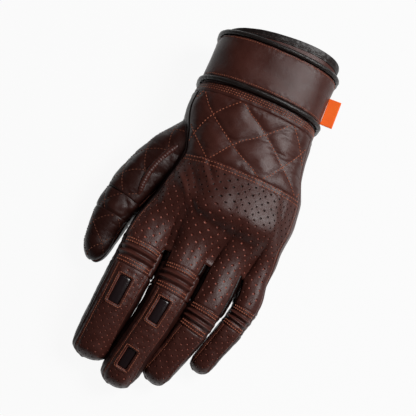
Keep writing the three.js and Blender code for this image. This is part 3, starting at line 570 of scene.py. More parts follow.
def cut_flat(name, columns, rows, thickness=LEATHER, keep=None, punched=None, rim=0.13, loop=False,
             widened=0.0):
    """A flat slab of cells, and the flat places of its cut edges."""
    sheet = flat_grid(name, columns, rows)
    bpy.ops.object.mode_set(mode="EDIT")
    if keep and pick_faces(sheet, lambda x, y, z: not keep(x, y)):
        bpy.ops.mesh.delete(type="FACE")
    flat = bmesh.from_edit_mesh(sheet.data)
    cut_edges = [[v.co.to_2d() for v in edge.verts] for edge in flat.edges if edge.is_boundary]
    if loop:
        inside = lambda p: 1e-4 < p.x < columns - 1e-4
        cut_edges = [pair for pair in cut_edges if inside(pair[0]) or inside(pair[1])]
    bpy.ops.mesh.select_all(action="SELECT")
    bpy.ops.mesh.extrude_region_move(TRANSFORM_OT_translate={"value": (0, 0, -thickness)})
    ends = (0.0, float(columns))
    if loop and pick_faces(sheet, lambda x, y, z: min(abs(x - end) for end in ends) < 1e-4):
        bpy.ops.mesh.delete(type="FACE")
    bpy.ops.mesh.select_all(action="SELECT")
    bpy.ops.mesh.normals_make_consistent(inside=False)
    holes = []

    def is_hole(x, y, z):
        if abs(z) > 1e-4 or not punched(int(x), int(y)):
            return False
        holes.append((x, y, 0))
        return True

    if punched and pick_faces(sheet, is_hole):
        bpy.ops.mesh.inset(thickness=rim, depth=0, use_individual=True)
        bpy.ops.mesh.inset(thickness=0.04, depth=-0.12, use_individual=True)
        bpy.ops.mesh.inset(thickness=0.05, depth=-0.75, use_individual=True)
    bpy.ops.object.mode_set(mode="OBJECT")
    modify(sheet, "SUBSURF", levels=1, render_levels=1)
    if holes and widened:
        widen_holes(sheet, np.array(holes), widened)
    return sheet, cut_edges


def widen_holes(sheet, holes, share):
    """Draws the flat sheet outwards round each hole."""
    flat = points_of(sheet)
    level = flat * (1, 1, 0)
    tree = tree_of(holes)
    away = level - holes[[tree.find(point)[1] for point in level]]
    reach = np.linalg.norm(away, axis=1)
    flat += away * (share * (1 - smooth((reach - 0.45) / 0.5)))[:, None]
    move_points(sheet, flat)


def surface(form, x, y, side, reach=0.3):
    """Places on a form and the directions that stand off it."""
    base = form(x, y)
    over = form(x + reach, y) - form(x - reach, y)
    along = form(x, y + reach) - form(x, y - reach)
    normal = np.cross(over, along) * side
    return base, normal / np.maximum(np.linalg.norm(normal, axis=-1, keepdims=True), 1e-9)


def tree_of(points):
    """A search tree over points."""
    tree = KDTree(len(points))
    for i, point in enumerate(points):
        tree.insert(point, i)
    tree.balance()
    return tree


def nearest(tree, points):
    """How far each point is from the tree's nearest one."""
    return np.array([tree.find(point)[2] for point in points])


def ripples(points, wavelength, seed):
    """Soft irregular waves, about 1 high, the same for every run."""
    count = 14
    draw = np.random.default_rng(seed)
    heading = draw.normal(size=(count, 3))
    heading /= np.linalg.norm(heading, axis=1, keepdims=True)
    rate = 2 * np.pi / (wavelength * draw.uniform(0.7, 1.4, count))
    turns = points @ (heading * rate[:, None]).T + draw.uniform(0, 2 * np.pi, count)
    return np.sin(turns).sum(axis=1) / math.sqrt(count / 2)


def creases(points, wavelength, seed, sharp=0.22):
    """Thin creases where soft waves change sign: 1 in a crease and 0 beside it."""
    shift = np.stack([ripples(points, wavelength, seed + k) for k in (1, 2, 3)], axis=1)
    return smooth(1 - np.abs(ripples(points + 0.25 * wavelength * shift, wavelength, seed)) / sharp)


def store(piece, name, values):
    """Stores one number at each point for the finish to read."""
    piece.data.attributes.new(name, "FLOAT", "POINT").data.foreach_set("value", values.astype(np.float32))


def measured(line, step):
    """A run of points along a line at even steps."""
    run = run_along(line)
    marks = np.linspace(0, run[-1], max(2, round(run[-1] / step) + 1))
    return np.stack([np.interp(marks, run, line[:, k]) for k in range(3)], axis=1)


RIM_AT = 1.4  # how far inside a cut edge its raised rim stands


class Skin:
    """The lie of a sewn piece: its form, its sewn lines and how its face rises and falls."""

    def __init__(self, form, side, cut_edges=(), seams=(), relief=None, rim=0.0, groove=0.32, flat_end=None,
                 shade=None):
        self.form, self.side, self.relief, self.rim = form, side, relief, rim
        self.groove, self.shade = groove, shade
        corners = [point for pair in cut_edges for point in (pair[0], (pair[0] + pair[1]) / 2)]
        corners = np.array([point for point in corners if not (flat_end and flat_end(*point))], float)
        self.edge_tree = tree_of(form(corners[:, 0], corners[:, 1])) if len(corners) else None
        sewn = [measured(form(*np.array(seam, float)), 0.5) for seam in seams]
        self.seam_tree = tree_of(np.concatenate(sewn)) if sewn else None

    def height(self, base, x, y):
        """How far the face rises over the form: its rims, its sewn grooves and its own relief."""
        lift = np.zeros(len(base))
        if self.edge_tree and self.rim:
            away = nearest(self.edge_tree, base)
            lift += self.rim * np.exp(-(((away - RIM_AT) / 0.95) ** 2))
        if self.seam_tree:
            away = nearest(self.seam_tree, base)
            pull = np.exp(-((away / 0.85) ** 2))
            lift -= self.groove * pull
            lift += 0.13 * ripples(base, 3.2, 5) * np.exp(-((away / 2.4) ** 2)) * (1 - pull)
        if self.relief is not None:
            lift += self.relief(base, x, y)
        return lift

    def lay(self, x, y, proud=0.0):
        """Places on the finished face and the directions that stand off it."""
        x, y = np.asarray(x, float), np.asarray(y, float)
        base, normal = surface(self.form, x, y, self.side)
        return base + normal * (self.height(base, x, y) + proud)[:, None], normal


def wrap(sheet, skin, thickness=LEATHER):
    """Lays a flat slab on its skin, stores what its finish reads and closes it."""
    flat = points_of(sheet)
    base, normal = surface(skin.form, flat[:, 0], flat[:, 1], skin.side)
    lift = skin.height(base, flat[:, 0], flat[:, 1])
    weight = np.clip(1 + flat[:, 2] / thickness, 0, 1)
    offset = flat[:, 2] + lift * weight + np.minimum(0, lift + 0.5) * (1 - weight)
    move_points(sheet, (base + normal * offset[:, None]) * MM)
    # Proud places are paler, as rubbed leather is, and low ones are darkened as painted shade.
    store(sheet, "proud", np.clip(lift / 1.1, -1, 1))
    # Deep in a hole the colour is painted shade; reddish raw leather shows in the holes towards the fingers and the
    # thumb's side.
    store(sheet, "hole", smooth((-0.08 - flat[:, 2]) / 0.7) * 0.95)
    store(sheet, "raw", smooth((2 - base[:, 1]) / 12 + np.clip((-22 - base[:, 0]) / 14, 0, 1)))
    # Painted shade between the fingers, where the piece asks for it.
    if skin.shade:
        store(sheet, "shade", skin.shade(flat[:, 0], flat[:, 1]))
    work_on(sheet)
    join_and_face_out(sheet)
    bpy.ops.object.shade_smooth_by_angle(angle=math.radians(50))


DRESSED = {}


def paint(piece, material):
    """Gives a piece its only finish."""
    piece.data.materials.clear()
    piece.data.materials.append(material)


def finish_piece(piece, material, body, *nodes, slot=None):
    """Gives a piece its finish, its body and the plain solid that it stands for."""
    paint(piece, material)
    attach(piece, body)
    if nodes:
        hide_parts(*nodes)
    DRESSED[piece.name] = piece
    triangles = sum(len(face.vertices) - 2 for face in piece.data.polygons)
    print(f"{piece.name}: {triangles} triangles on {body}")
    return piece


def dress(node, material, body, size, form, side=1, slot="brown_leather", thickness=LEATHER, keep=None,
          punched=None, rim_cut=0.1, loop=False, seams=(), relief=None, rim=0.0, groove=0.32, cutter=None,
          flat_end=None, stands_for=None, widened=0.0, shade=None):
    """Cuts, wraps and finishes a piece. If nothing else is said, it stands for the plain solid of its name."""
    sheet, cut_edges = cut_flat(f"{node}_sewn", *size, thickness, keep, punched, rim_cut, loop, widened)
    skin = Skin(form, side, cut_edges, seams, relief, rim, groove=groove, flat_end=flat_end, shade=shade)
    wrap(sheet, skin, thickness)
    if cutter:
        cut_away(sheet, *cutter)
    finish_piece(sheet, material, body, *([node] if stands_for is None else stands_for), slot=slot)
    return skin


def cut_away(piece, *tools):
    """Cuts one piece by other closed shapes, and keeps its largest part."""
    work_on(piece)
    for tool in tools:
        modify(piece, "BOOLEAN", operation="DIFFERENCE", object=tool, solver="EXACT")
    mesh = bmesh.new()
    mesh.from_mesh(piece.data)
    left, islands = set(mesh.verts), []
    while left:
        island, queue = set(), [left.pop()]
        while queue:
            vertex = queue.pop()
            island.add(vertex)
            for edge in vertex.link_edges:
                other = edge.other_vert(vertex)
                if other in left:
                    left.discard(other)
                    queue.append(other)
        islands.append(island)
    islands.sort(key=len)
    bmesh.ops.delete(mesh, geom=[v for island in islands[:-1] for v in island], context="VERTS")
    mesh.to_mesh(piece.data)
    mesh.free()


# %% [markdown]
# ## The two large sheets
# The perforated back and the palm each run in one piece from the wrist into four tongues on the fingers.
# Their columns belong to the fingers from the start, with a few between neighbours that end at the webs, and
# their rows turn from the hand's section into the fingers' sections. That gives the rows the same slope as
# the knuckles, and the perforation, which sits on every other cell, follows it.
# %% A sheet with four tongues
CELL = 1.5


def glove_side(palm, start, counts, tongues, lift, hand_edge=HAND_EDGE, finger_edge=FINGER_EDGE, between=3,
               bump=False, cell=CELL, inset=0.0):
    """The form of a sheet, its size in cells, and which of its cells are kept."""
    rows = round((HAND_END - start) / cell)
    firsts = [sum(counts[:i]) + between * i for i in range(4)]
    columns = firsts[-1] + counts[-1]

    def share_of(edge, part):
        return (1 + edge) + (1 - 2 * edge) * part if palm else (1 - edge) - (1 - 2 * edge) * part

    first_x = INDEX.point(web_distance(INDEX, share_of(finger_edge, 0)), share_of(finger_edge, 0))[0]
    last_x = LITTLE.point(web_distance(LITTLE, share_of(finger_edge, 1)), share_of(finger_edge, 1))[0]

    def on_finger(i, part, y):
        finger, share = FINGERS[i], share_of(finger_edge, part)
        web_at = web_distance(finger, share)
        outer_x = finger.point(web_at, share)[..., 0]
        web = finger.point(web_at, share, inset)
        tongue = finger.joint - finger.reach - web_at
        reach = web_at + tongue * np.maximum(y - rows, 0) / tongues[i]
        on_tongue = finger.point(reach, share, inset)
        at = start + (HAND_END - start) * np.minimum(y, rows) / rows
        hand_share = share_of(hand_edge, (outer_x - first_x) / (last_x - first_x))
        on_hand = mouth_point(at, hand_share, inset)
        back = on_hand[..., 1] - hand_point(HAND_END, hand_share, inset)[..., 1]
        turned = turned_at(at)[..., None]
        on_web = np.stack([web[..., 0], web[..., 1] + inset + back, web[..., 2]], axis=-1)
        place = on_hand * (1 - turned) + on_web * turned
        if bump:
            place[..., 2] += guard_lift(place[..., 0], place[..., 1]) * (1 - turned[..., 0] ** 2)
        place = np.where((y > rows)[..., None], on_tongue, place)
        place[..., 2] += lift
        return place

    def form(x, y):
        x, y = paired(x, y)
        place = np.zeros(x.shape + (3,))
        for i, (first, count) in enumerate(zip(firsts, counts)):
            low = -np.inf if i == 0 else first
            high = np.inf if i == 3 else first + count
            mine = (x >= low) & (x <= high)
            place[mine] = on_finger(i, (x[mine] - first) / count, y[mine])
            if i < 3:
                part = (x - high) / between
                strip = (part > 0) & (part < 1)
                left = on_finger(i, np.ones(strip.sum()), y[strip])
                right_side = on_finger(i + 1, np.zeros(strip.sum()), y[strip])
                place[strip] = left + (right_side - left) * part[strip][:, None]
        return place

    def keep(x, y):
        if y < rows:
            return True
        return any(first < x < first + count and y < rows + reach
                   for first, count, reach in zip(firsts, counts, tongues))

    form.rows, form.firsts, form.counts = rows, firsts, counts
    return form, (columns, rows + max(tongues)), keep


def punched_lattice(x, y):
    """A hole in every other cell of every other row, half offset."""
    return x % 2 == 0 and y % 2 == 0 and (x + y) // 2 % 2 == 0


def fold(start, end, height, width):
    """A long soft ridge, or a valley where its height is negative, between two places seen from above."""
    a, b = np.array(start, float), np.array(end, float)

    def relief(base):
        along = np.clip((base[:, :2] - a) @ (b - a) / ((b - a) @ (b - a)), 0, 1)
        away = np.linalg.norm(base[:, :2] - (a + along[:, None] * (b - a)), axis=1)
        return height * np.exp(-((away / width) ** 2)) * np.sin(np.pi * np.clip(along, 0.12, 0.88)) ** 0.5

    return relief


BACK_FOLDS = [
    fold((-33, 9), (-19, -5), 1.1, 2.4),
    fold((-27, 16), (-15, 1), -1.0, 2.2),
    fold((-17, 21), (-7, 9), -0.9, 1.8),
    fold((-22, 22), (-11, 8), 0.8, 2.0),
    fold((-18, -5), (-8, -14), -0.6, 1.6),
    fold((-12, -12), (8, -16), -0.5, 1.8),
    fold((8, -15), (34, -14), -0.45, 2.0),
    fold((38, 22), (46, -2), -0.6, 2.2),
    fold((-38, 10), (-30, -20), 0.6, 2.4),
]


def back_relief(base, x, y):
    """Folds from the thumb's root to the guard, drawn leather over the knuckles and faint creases."""
    lift = sum(one(base) for one in BACK_FOLDS)
    lift += 0.12 * ripples(base * (1, 0.6, 1), 11, 21)
    towards_webs = smooth((-18 - base[:, 1]) / 14)
    lift += 0.08 * towards_webs * ripples(base * (1.6, 0.35, 1), 8, 33)
    return lift - 0.06 * creases(base, 9, 41)


# %% The perforated back
BACK_COUNTS, BACK_TONGUES = (18, 18, 15, 12), (3, 6, 18, 12)
back_form, back_size, back_keep = glove_side(False, BACK_START - 0.6, BACK_COUNTS, BACK_TONGUES, GAP,
                                             bump=True)
BACK_ROWS = back_form.rows


def back_punched(x, y):
    """Holes stay clear of the quilting's seam, the sides and the ends of the tongues."""
    if y < 4 or not 2 <= x <= back_size[0] - 3 or not punched_lattice(x, y):
        return False
    if y < BACK_ROWS - 1:
        return True
    return any(first + 2 <= x <= first + count - 3 and y < BACK_ROWS + tongue - 1
               for first, count, tongue in zip(back_form.firsts, BACK_COUNTS, BACK_TONGUES))


def tongue_end(x, y):
    """The tongues' ends lie flat, because the stretch panels are sewn on there."""
    return any(first - 0.1 <= x <= first + count + 0.1 and y > BACK_ROWS + tongue - 0.1
               for first, count, tongue in zip(back_form.firsts, BACK_COUNTS, BACK_TONGUES))


across_back = np.linspace(0.6, back_size[0] - 0.6, 60)
back_seams = [(across_back, np.full(60, 1.0)), (across_back, np.full(60, 2.5))]
down_side = np.linspace(2, BACK_ROWS - 1, 40)
back_seams += [(np.full(40, 1.2), down_side), (np.full(40, back_size[0] - 1.2), down_side)]
back_skin = dress("back_panel", brown_leather, "root", back_size, back_form, -1, keep=back_keep,
                  punched=back_punched, rim_cut=0.06, widened=0.22, seams=back_seams, relief=back_relief, rim=0.45,
                  flat_end=tongue_end)


# %% [markdown]
# ## The side panels and the strips between the fingers
# The back and the palm don't meet: a strip runs down each side of the hand and on along the outer finger,
# and a narrower one, the fourchette, goes down one finger, round the web and up the next. They bend to the
# same sections, so their forms use the same shares of half a turn as the sheets on either side.
# %% Side strips and webs
def side_strip(finger, middle, columns, tongue, start=QUILT_START, cell=CELL):
    """The strip beside the hand, at the little finger's side or at the thumb's."""
    rows = round((HAND_END - start) / cell)

    def form(x, y):
        x, y = paired(x, y)
        part = 2 * x / columns - 1
        on_finger = middle + part * FINGER_EDGE
        web = web_distance(finger, on_finger)
        reach = web + (finger.joint - finger.reach - web) * np.maximum(y - rows, 0) / tongue
        at = start + (HAND_END - start) * np.minimum(y, rows) / rows
        share = middle + part * HAND_EDGE
        on_hand = hand_point(at, share)
        on_web = finger.point(web, on_finger)
        on_web[..., 1] += on_hand[..., 1] - hand_point(HAND_END, share)[..., 1]
        turned = turned_at(at)[..., None]
        place = on_hand * (1 - turned) + on_web * turned
        return np.where((y > rows)[..., None], finger.point(reach, on_finger), place)

    return form, (columns, rows + tongue)


def web_strip(before, after, columns, cell=CELL, bridge=4):
    """The strip from one finger's joint, round the web between two fingers, to the next one's joint."""
    first_end, second_end = before.joint - before.reach, after.joint - after.reach
    first_web, second_web = web_distance(before, 0), web_distance(after, 1)
    down = max(2, round((first_end - first_web) / cell))
    back = max(2, round((second_end - second_web) / cell))

    def wall(finger, middle, edge, distance, part, at_web):
        spread_share = (FINGER_EDGE - 0.012 * at_web) * part
        from_end = np.abs(distance - (finger.joint - finger.reach))
        swollen = (0.25 + 0.75 * smooth(from_end / 4)) * (1 - part**4)
        return finger.point(distance, middle + edge * spread_share, 0.4 * part**8 - swollen)

    def form(x, y):
        x, y = paired(x, y)
        part = 2 * x / columns - 1
        near = np.clip(y / down, -0.2, 1)
        far = np.clip((y - down - bridge) / back, 0, 1.2)
        first = wall(before, 0, 1, first_end + (first_web - first_end) * near, part, smooth(2 * near - 1))
        second = wall(after, 1, -1, second_web + (second_end - second_web) * far, part, smooth(1 - 2 * far))
        over = np.clip((y - down) / bridge, 0, 1)[..., None]
        place = first * (1 - over) + second * over
        place[..., 1] += 1.2 * np.sin(np.pi * over[..., 0])
        return place

    return form, (columns, down + bridge + back)


def side_relief(base, x, y):
    """Long soft waves and faint creases."""
    return 0.15 * ripples(base * (1, 0.5, 1), 10, 51) - 0.06 * creases(base, 8, 57)


def strip_relief(base, x, y):
    """Soft waves, smaller than the sides'."""
    return 0.12 * ripples(base, 7, 61) - 0.05 * creases(base, 6, 67)


def tube_tool(name, place, rows, columns):
    """A closed plain tube that only cuts others and is deleted at the end."""
    row, column = np.meshgrid(np.linspace(0, 1, rows + 1), np.arange(columns) / columns * 2, indexing="ij")
    points = (place(row.ravel(), column.ravel()) * MM).tolist()
    faces = [(r * columns + c, r * columns + (c + 1) % columns, (r + 1) * columns + (c + 1) % columns,
              (r + 1) * columns + c) for r in range(rows) for c in range(columns)]
    faces += [tuple(reversed(range(columns))), tuple(range(rows * columns, (rows + 1) * columns))]
    mesh = bpy.data.meshes.new(name)
    mesh.from_pydata(points, [], faces)
    tool = bpy.data.objects.new(name, mesh)
    bpy.context.scene.collection.objects.link(tool)
    shape = bmesh.new()
    shape.from_mesh(mesh)
    bmesh.ops.recalc_face_normals(shape, faces=shape.faces)
    if shape.calc_volume(signed=True) < 0:
        bmesh.ops.reverse_faces(shape, faces=shape.faces)
    shape.to_mesh(mesh)
    shape.free()
    return tool


thumb_cutter = tube_tool(
    "thumb_cutter", lambda row, share: THUMB.point(row * 0.995 * THUMB.total, share, -0.45), 60, 64)
hand_cutter = tube_tool(
    "hand_cutter", lambda row, share: hand_point(24 + row * (HAND_END - 24), share, -0.35), 70, 96)

little_form, little_size = side_strip(LITTLE, 0, 15, 12)
dress("little_side_panel", smooth_leather, "root", little_size, little_form, 1, relief=side_relief, rim=0.3)
# The index side panel is cut from the leather darkened as painted shade.
index_form, index_size = side_strip(INDEX, 1, 15, 2)
dress("index_side_panel", shaded_leather, "root", index_size, index_form, 1, relief=side_relief, rim=0.3,
      cutter=[thumb_cutter])
for before, after in zip(FINGERS, FINGERS[1:]):
    web_form, web_size = web_strip(before, after, 12)
    # The web gussets get painted shade all over, on top of the shaded leather.
    dress(f"web_gusset_{before.name}_{after.name}", shaded_leather, "root", web_size, web_form, -1,
          relief=strip_relief, rim=0.2, shade=lambda x, y: 0.9 + 0 * x)

# %% [markdown]
# ## The palm
# The palm is one sheet like the back, with a hole where the thumb's tube comes through. Two patches are sewn
# on it where a hand holds a bar. They carry the glove on the floor, so their faces are flat underneath.
# %% Palm, patches and linings
PALM_COUNTS, PALM_TONGUES = (18, 18, 15, 12), (3, 6, 18, 12)


def palm_relief(base, x, y):
    """Waves and creases, flatter where the palm rests on the floor."""
    lift = 0.22 * ripples(base, 12, 71) - 0.2 * creases(base * (1, 1.6, 1), 12, 77)
    return np.where(base[:, 2] < 4, 0.35 * lift, lift)


palm_form, palm_size, palm_keep = glove_side(True, QUILT_START, PALM_COUNTS, PALM_TONGUES, -GAP)
across_palm = np.linspace(0.6, palm_size[0] - 0.6, 60)
palm_seam = (across_palm, np.full(60, 1.0))
palm_skin = dress("palm_panel", smooth_leather, "root", palm_size, palm_form, 1, slot="palm_leather",
                  keep=palm_keep, seams=[palm_seam], relief=palm_relief, rim=0.3, cutter=[thumb_cutter])


def patch_form(left, right, front, back, columns, rows, thickness=1.8):
    """The outer face of a patch: rounded at its corners and pressed flat where it rests."""

    def form(x, y):
        x, y = paired(x, y)
        part, down = x / columns * 2 - 1, y / rows * 2 - 1
        tuck = 1 - 0.07 * np.abs(down) ** 6
        place_x = (left + right) / 2 + (right - left) / 2 * part * tuck
        place_y = (back + front) / 2 + (front - back) / 2 * down * (1 - 0.05 * np.abs(part) ** 6)
        over = face_height(place_x, place_y, -1, PALM_ROUNDNESS) - 0.72
        return np.stack([place_x, place_y, np.maximum(0.02, over - thickness)], axis=-1)

    return form


def border(columns, rows, inside=1.0, count=40):
    """A line just inside the four edges of a flat piece."""
    across, down = np.linspace(inside, columns - inside, count), np.linspace(inside, rows - inside, count)
    return [(across, np.full(count, inside)), (across, np.full(count, rows - inside)),
            (np.full(count, inside), down), (np.full(count, columns - inside), down)]


PATCHES = (("palm_patch", (-20, 36, -25, 7), (38, 22)), ("heel_pad", (-16, 34, 13, 46), (34, 22)))
PATCH_SKINS = []
for node, spot, size in PATCHES:
    PATCH_SKINS.append((node, size, dress(
        node, smooth_leather, "root", size, patch_form(*spot, *size), 1, slot="palm_leather", thickness=1.75,
        seams=border(*size), groove=0.25, relief=lambda base, x, y: np.where(base[:, 2] < 0.4, -0.22, 0.0))))

LINING_COUNTS, LINING_TONGUES = (8, 8, 7, 6), (2, 3, 8, 6)
for node, palm, side, shift in (("back_lining", False, -1, GAP / 2), ("palm_lining", True, 1, -GAP / 2)):
    form, size, keep = glove_side(palm, BINDING + GAP, LINING_COUNTS, LINING_TONGUES, shift, hand_edge=0,
                                  finger_edge=0, between=1, cell=3.4, inset=LINING_INSET)
    dress(node, lining_cloth, "root", size, form, side, slot="lining_cloth", thickness=LINING, keep=keep,
          relief=lambda base, x, y: -0.12 * creases(base, 8, 83), cutter=[thumb_cutter])


# %% [markdown]
# ## The fingers
# Each finger is sewn from a back, a front and two side walls, closed at the tip. The back is perforated, and
# on the two long fingers it has windows that are cut out of it, with a dark glossy leather behind and a row
# of stitches round. Over the joint sits the stretch panel: leather gathered in ridges on elastic.
# %% Finger pieces
FINGER_CELL = 1.2
WINDOWS = {  # the middle and the length of each, in mm along its finger
    "index": [("index_window", 38.5, 17)],
    "middle": [("middle_window", 41.5, 15.5), ("middle_tip_window", 76.5, 13.5)],
}
WINDOW_EDGE = 0.577
WINDOW_RING = 1.05  # how far outside a window its stitches run, in cells


def side_angle(share):
    """How wide a finger's side wall is, from its joint to its tip."""
    return FINGER_EDGE * np.sqrt(np.maximum(0, 1 - (share / 0.93) ** 4))


def rows_with_windows(digit, start, cell, windows):
    """Row distances whose lines fall on the windows' ends."""
    rows = digit.rows_to_tip(start, cell)
    for _, middle, length in windows:
        for edge in (middle - length / 2, middle + length / 2):
            rows[np.argmin(np.abs(rows - edge))] = edge
    return rows


def arc_form(digit, rows, columns, first, last, lift=(0, 0, 0), inset=0.0, bends=None, sunk_ends=0.0,
             swell=None):
    """A panel on a digit: its rows stand at distances, its columns run between two shares of half a turn."""
    start, end = rows[0], digit.total
    steps = np.arange(len(rows))

    def form(x, y, inset=inset):
        x, y = paired(x, y)
        if sunk_ends:
            inset = inset + sunk_ends * (smooth((1.2 - y) / 1.2) + smooth((y - steps[-1] + 1.2) / 1.2))
        if swell:
            inset = inset - swell(x, y)
        low_end = rows[0] + (rows[1] - rows[0]) * np.minimum(y, 0)
        distance = np.where(y < 0, low_end, np.interp(y, steps, rows))
        part = (distance - start) / (end - start)
        share_first, share_last = first(part), last(part)
        share = share_first + (share_last - share_first) * x / columns
        if bends is not None:
            share = bends(x, share_first, share_last)
        return digit.point(distance, share, inset) + np.array(lift)

    return form


def finger_relief(digit, seed):
    """Soft dents and creases, stronger near the joint and on the finger's last third."""

    def relief(base, x, y):
        lift = 0.1 * ripples(base * (1, 0.6, 1), 9, seed)
        lift += 0.05 * ripples(base * (0.5, 1.6, 0.5), 7, seed + 7)
        turned_down = 0.3 * (1 - smooth(y / 1.3))
        return lift - 0.04 * creases(base, 8, seed + 11) - turned_down

    return relief


SIDE_FULLNESS = {"index_thumb_side": 0.35, "index_outer_side": 1.6, "middle_thumb_side": 1.0,
                 "ring_outer_side": -0.15, "little_thumb_side": -0.15, "little_outer_side": 0.35}
OTHER_FULLNESS = 1.4
FINGER_SKINS = {}
for number, finger in enumerate(FINGERS):
    name, windows = finger.name, WINDOWS.get(finger.name, [])
    body = f"{name}_finger"
    start = finger.joint + finger.reach
    rows = rows_with_windows(finger, start, FINGER_CELL, windows)
    wide = 2 * round(finger.width * 0.45 / FINGER_CELL)
    inner = 6
    sixth = (wide - inner) // 2

    def window_share(x, first, last, wide=wide, sixth=sixth):
        """Columns whose lines fall on the windows' sides."""
        x = np.asarray(x, float)
        left = first + (WINDOW_EDGE - first) * x / sixth
        middle = WINDOW_EDGE + (1 - 2 * WINDOW_EDGE) * (x - sixth) / (wide - 2 * sixth)
        right_side = (1 - WINDOW_EDGE) + (last - (1 - WINDOW_EDGE)) * (x - wide + sixth) / sixth
        return np.where(x < sixth, left, np.where(x > wide - sixth, right_side, middle))

    spans = [[float(np.interp(middle + end * length, rows, np.arange(len(rows)))) for end in (-0.5, 0.5)]
             for _, middle, length in windows]

    def in_window(x, y, margin=0.0):
        return any(sixth - margin < x < wide - sixth + margin and low - margin < y < high + margin
                   for low, high in spans)

    wall = 0.2 * wide

    def finger_punched(x, y):
        clear = wall + 0.6 <= x <= wide - 2 and 1 <= y <= len(rows) - 5
        return clear and punched_lattice(x, y) and not in_window(x + 0.5, y + 0.5, 1.6)

    def walled(base, x, y, wall=wall, soft=finger_relief(finger, 100 + 20 * number)):
        """The back's thumb side is rolled over the side wall, so a second ridge runs along it."""
        return soft(base, x, y) + 0.5 * np.exp(-(((x - wall + 0.9) / 0.65) ** 2))

    seams = [(np.full(40, wall), np.linspace(0.2, len(rows) - 6, 40))]
    form = arc_form(finger, rows, wide, lambda s: 1 - side_angle(s), side_angle, (0, 0, GAP),
                    bends=window_share if windows else None)
    for low, high in spans:
        left, right_side = sixth - WINDOW_RING, wide - sixth + WINDOW_RING
        over, down = np.linspace(left, right_side, 16), np.linspace(low - WINDOW_RING, high + WINDOW_RING, 30)
        seams += [(over, np.full(16, down[0])), (over, np.full(16, down[-1])),
                  (np.full(30, left), down), (np.full(30, right_side), down)]

    def valley_painted_shade(x, y):
        """Painted shade on the back's two sides, where they turn down into the valleys between the fingers."""
        return 0.55 * smooth((wall - 0.2 - x) / 1.5) + 0.35 * smooth((x - wide + 1.4) / 1.4)

    skin = dress(f"{name}_back", brown_leather, body, (wide, len(rows) - 1), form, -1,
                 keep=(lambda x, y: not in_window(x, y)) if windows else None, punched=finger_punched,
                 rim_cut=0.05, widened=0.12, seams=seams, relief=walled, rim=0.6, groove=0.3,
                 flat_end=lambda x, y: y < 0.1, shade=valley_painted_shade)
    FINGER_SKINS[name] = (skin, seams)
    form = arc_form(finger, rows, 14, lambda s: 1 + side_angle(s), lambda s: 2 - side_angle(s), (0, 0, -GAP))
    dress(f"{name}_front", smooth_leather, body, (14, len(rows) - 1), form, 1, slot="palm_leather",
          relief=finger_relief(finger, 105 + 20 * number), rim=0.3, flat_end=lambda x, y: y < 0.1)
    side_rows = rows[rows < start + 0.915 * (finger.total - start)]
    for label, middle in (("thumb_side", 1), ("outer_side", 0)):
        fullness = SIDE_FULLNESS.get(f"{name}_{label}", OTHER_FULLNESS)

        def filled(x, y, fullness=fullness, count=len(side_rows) - 1):
            """A side wall swells towards its neighbour, and not at its two ends."""
            along = smooth((y + 1.2) / 3) * smooth((count - y) / 6)
            return fullness * np.sin(np.pi * np.clip(x / 8, 0, 1)) * along

        form = arc_form(finger, side_rows, 8, lambda s, m=middle: m - side_angle(s),
                        lambda s, m=middle: m + side_angle(s), swell=filled)
        # The side walls, down between the fingers, are cut from the leather darkened as painted shade.
        dress(f"{name}_{label}", shaded_leather, body, (8, len(side_rows) - 1), form, 1,
              relief=finger_relief(finger, 110 + 20 * number))
    lining_rows = finger.rows_to_tip(start, 3.0)
    form = arc_form(finger, lining_rows, 24, lambda s: 0 * s, lambda s: 0 * s + 2, inset=LINING_INSET)
    dress(f"{name}_lining", lining_cloth, body, (24, len(lining_rows) - 1), form, 1, slot="lining_cloth",
          thickness=LINING, loop=True)

# %% [markdown]
# ## Stretch panels, creases and windows
# A stretch panel is leather drawn up in ridges, and on the palm's side of the joint the leather folds
# instead. Both span the finger's joint; here they are shaped and finished, and attached to no body.
# %% Joint pieces
RIDGES = 2
STRETCH = 0.22  # the ridges' half length as a share of the panel


def blend_piece(piece, material, digit, body, node=None):
    """Finishes a piece that bends across a digit's joint."""
    paint(piece, material)
    near, _, _ = digit.frame_at(np.array([digit.joint - digit.reach + 0.4]))
    far, _, _ = digit.frame_at(np.array([digit.joint + digit.reach - 0.4]))
    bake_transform(piece)
    if node:
        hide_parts(node)
    DRESSED[piece.name] = piece
    print(f"{piece.name}: bends from root to {body}")


def ridge_relief(count, rows, height):
    """Rounded ridges across a finger with sharp valleys between them, in the panel's middle part."""

    def relief(base, x, y):
        part = (y / rows - 0.5) / STRETCH
        wave = np.abs(np.cos(np.pi * count * (part + 1) / 2))
        ridges = height * (1 - wave**1.5) - 0.5
        beside = -0.5 * np.exp(-(((np.abs(part) - 1) / 0.25) ** 2))
        return np.where(np.abs(part) < 1, ridges, beside) + 0.07 * ripples(base * (1, 0.4, 1), 5, 91)

    return relief


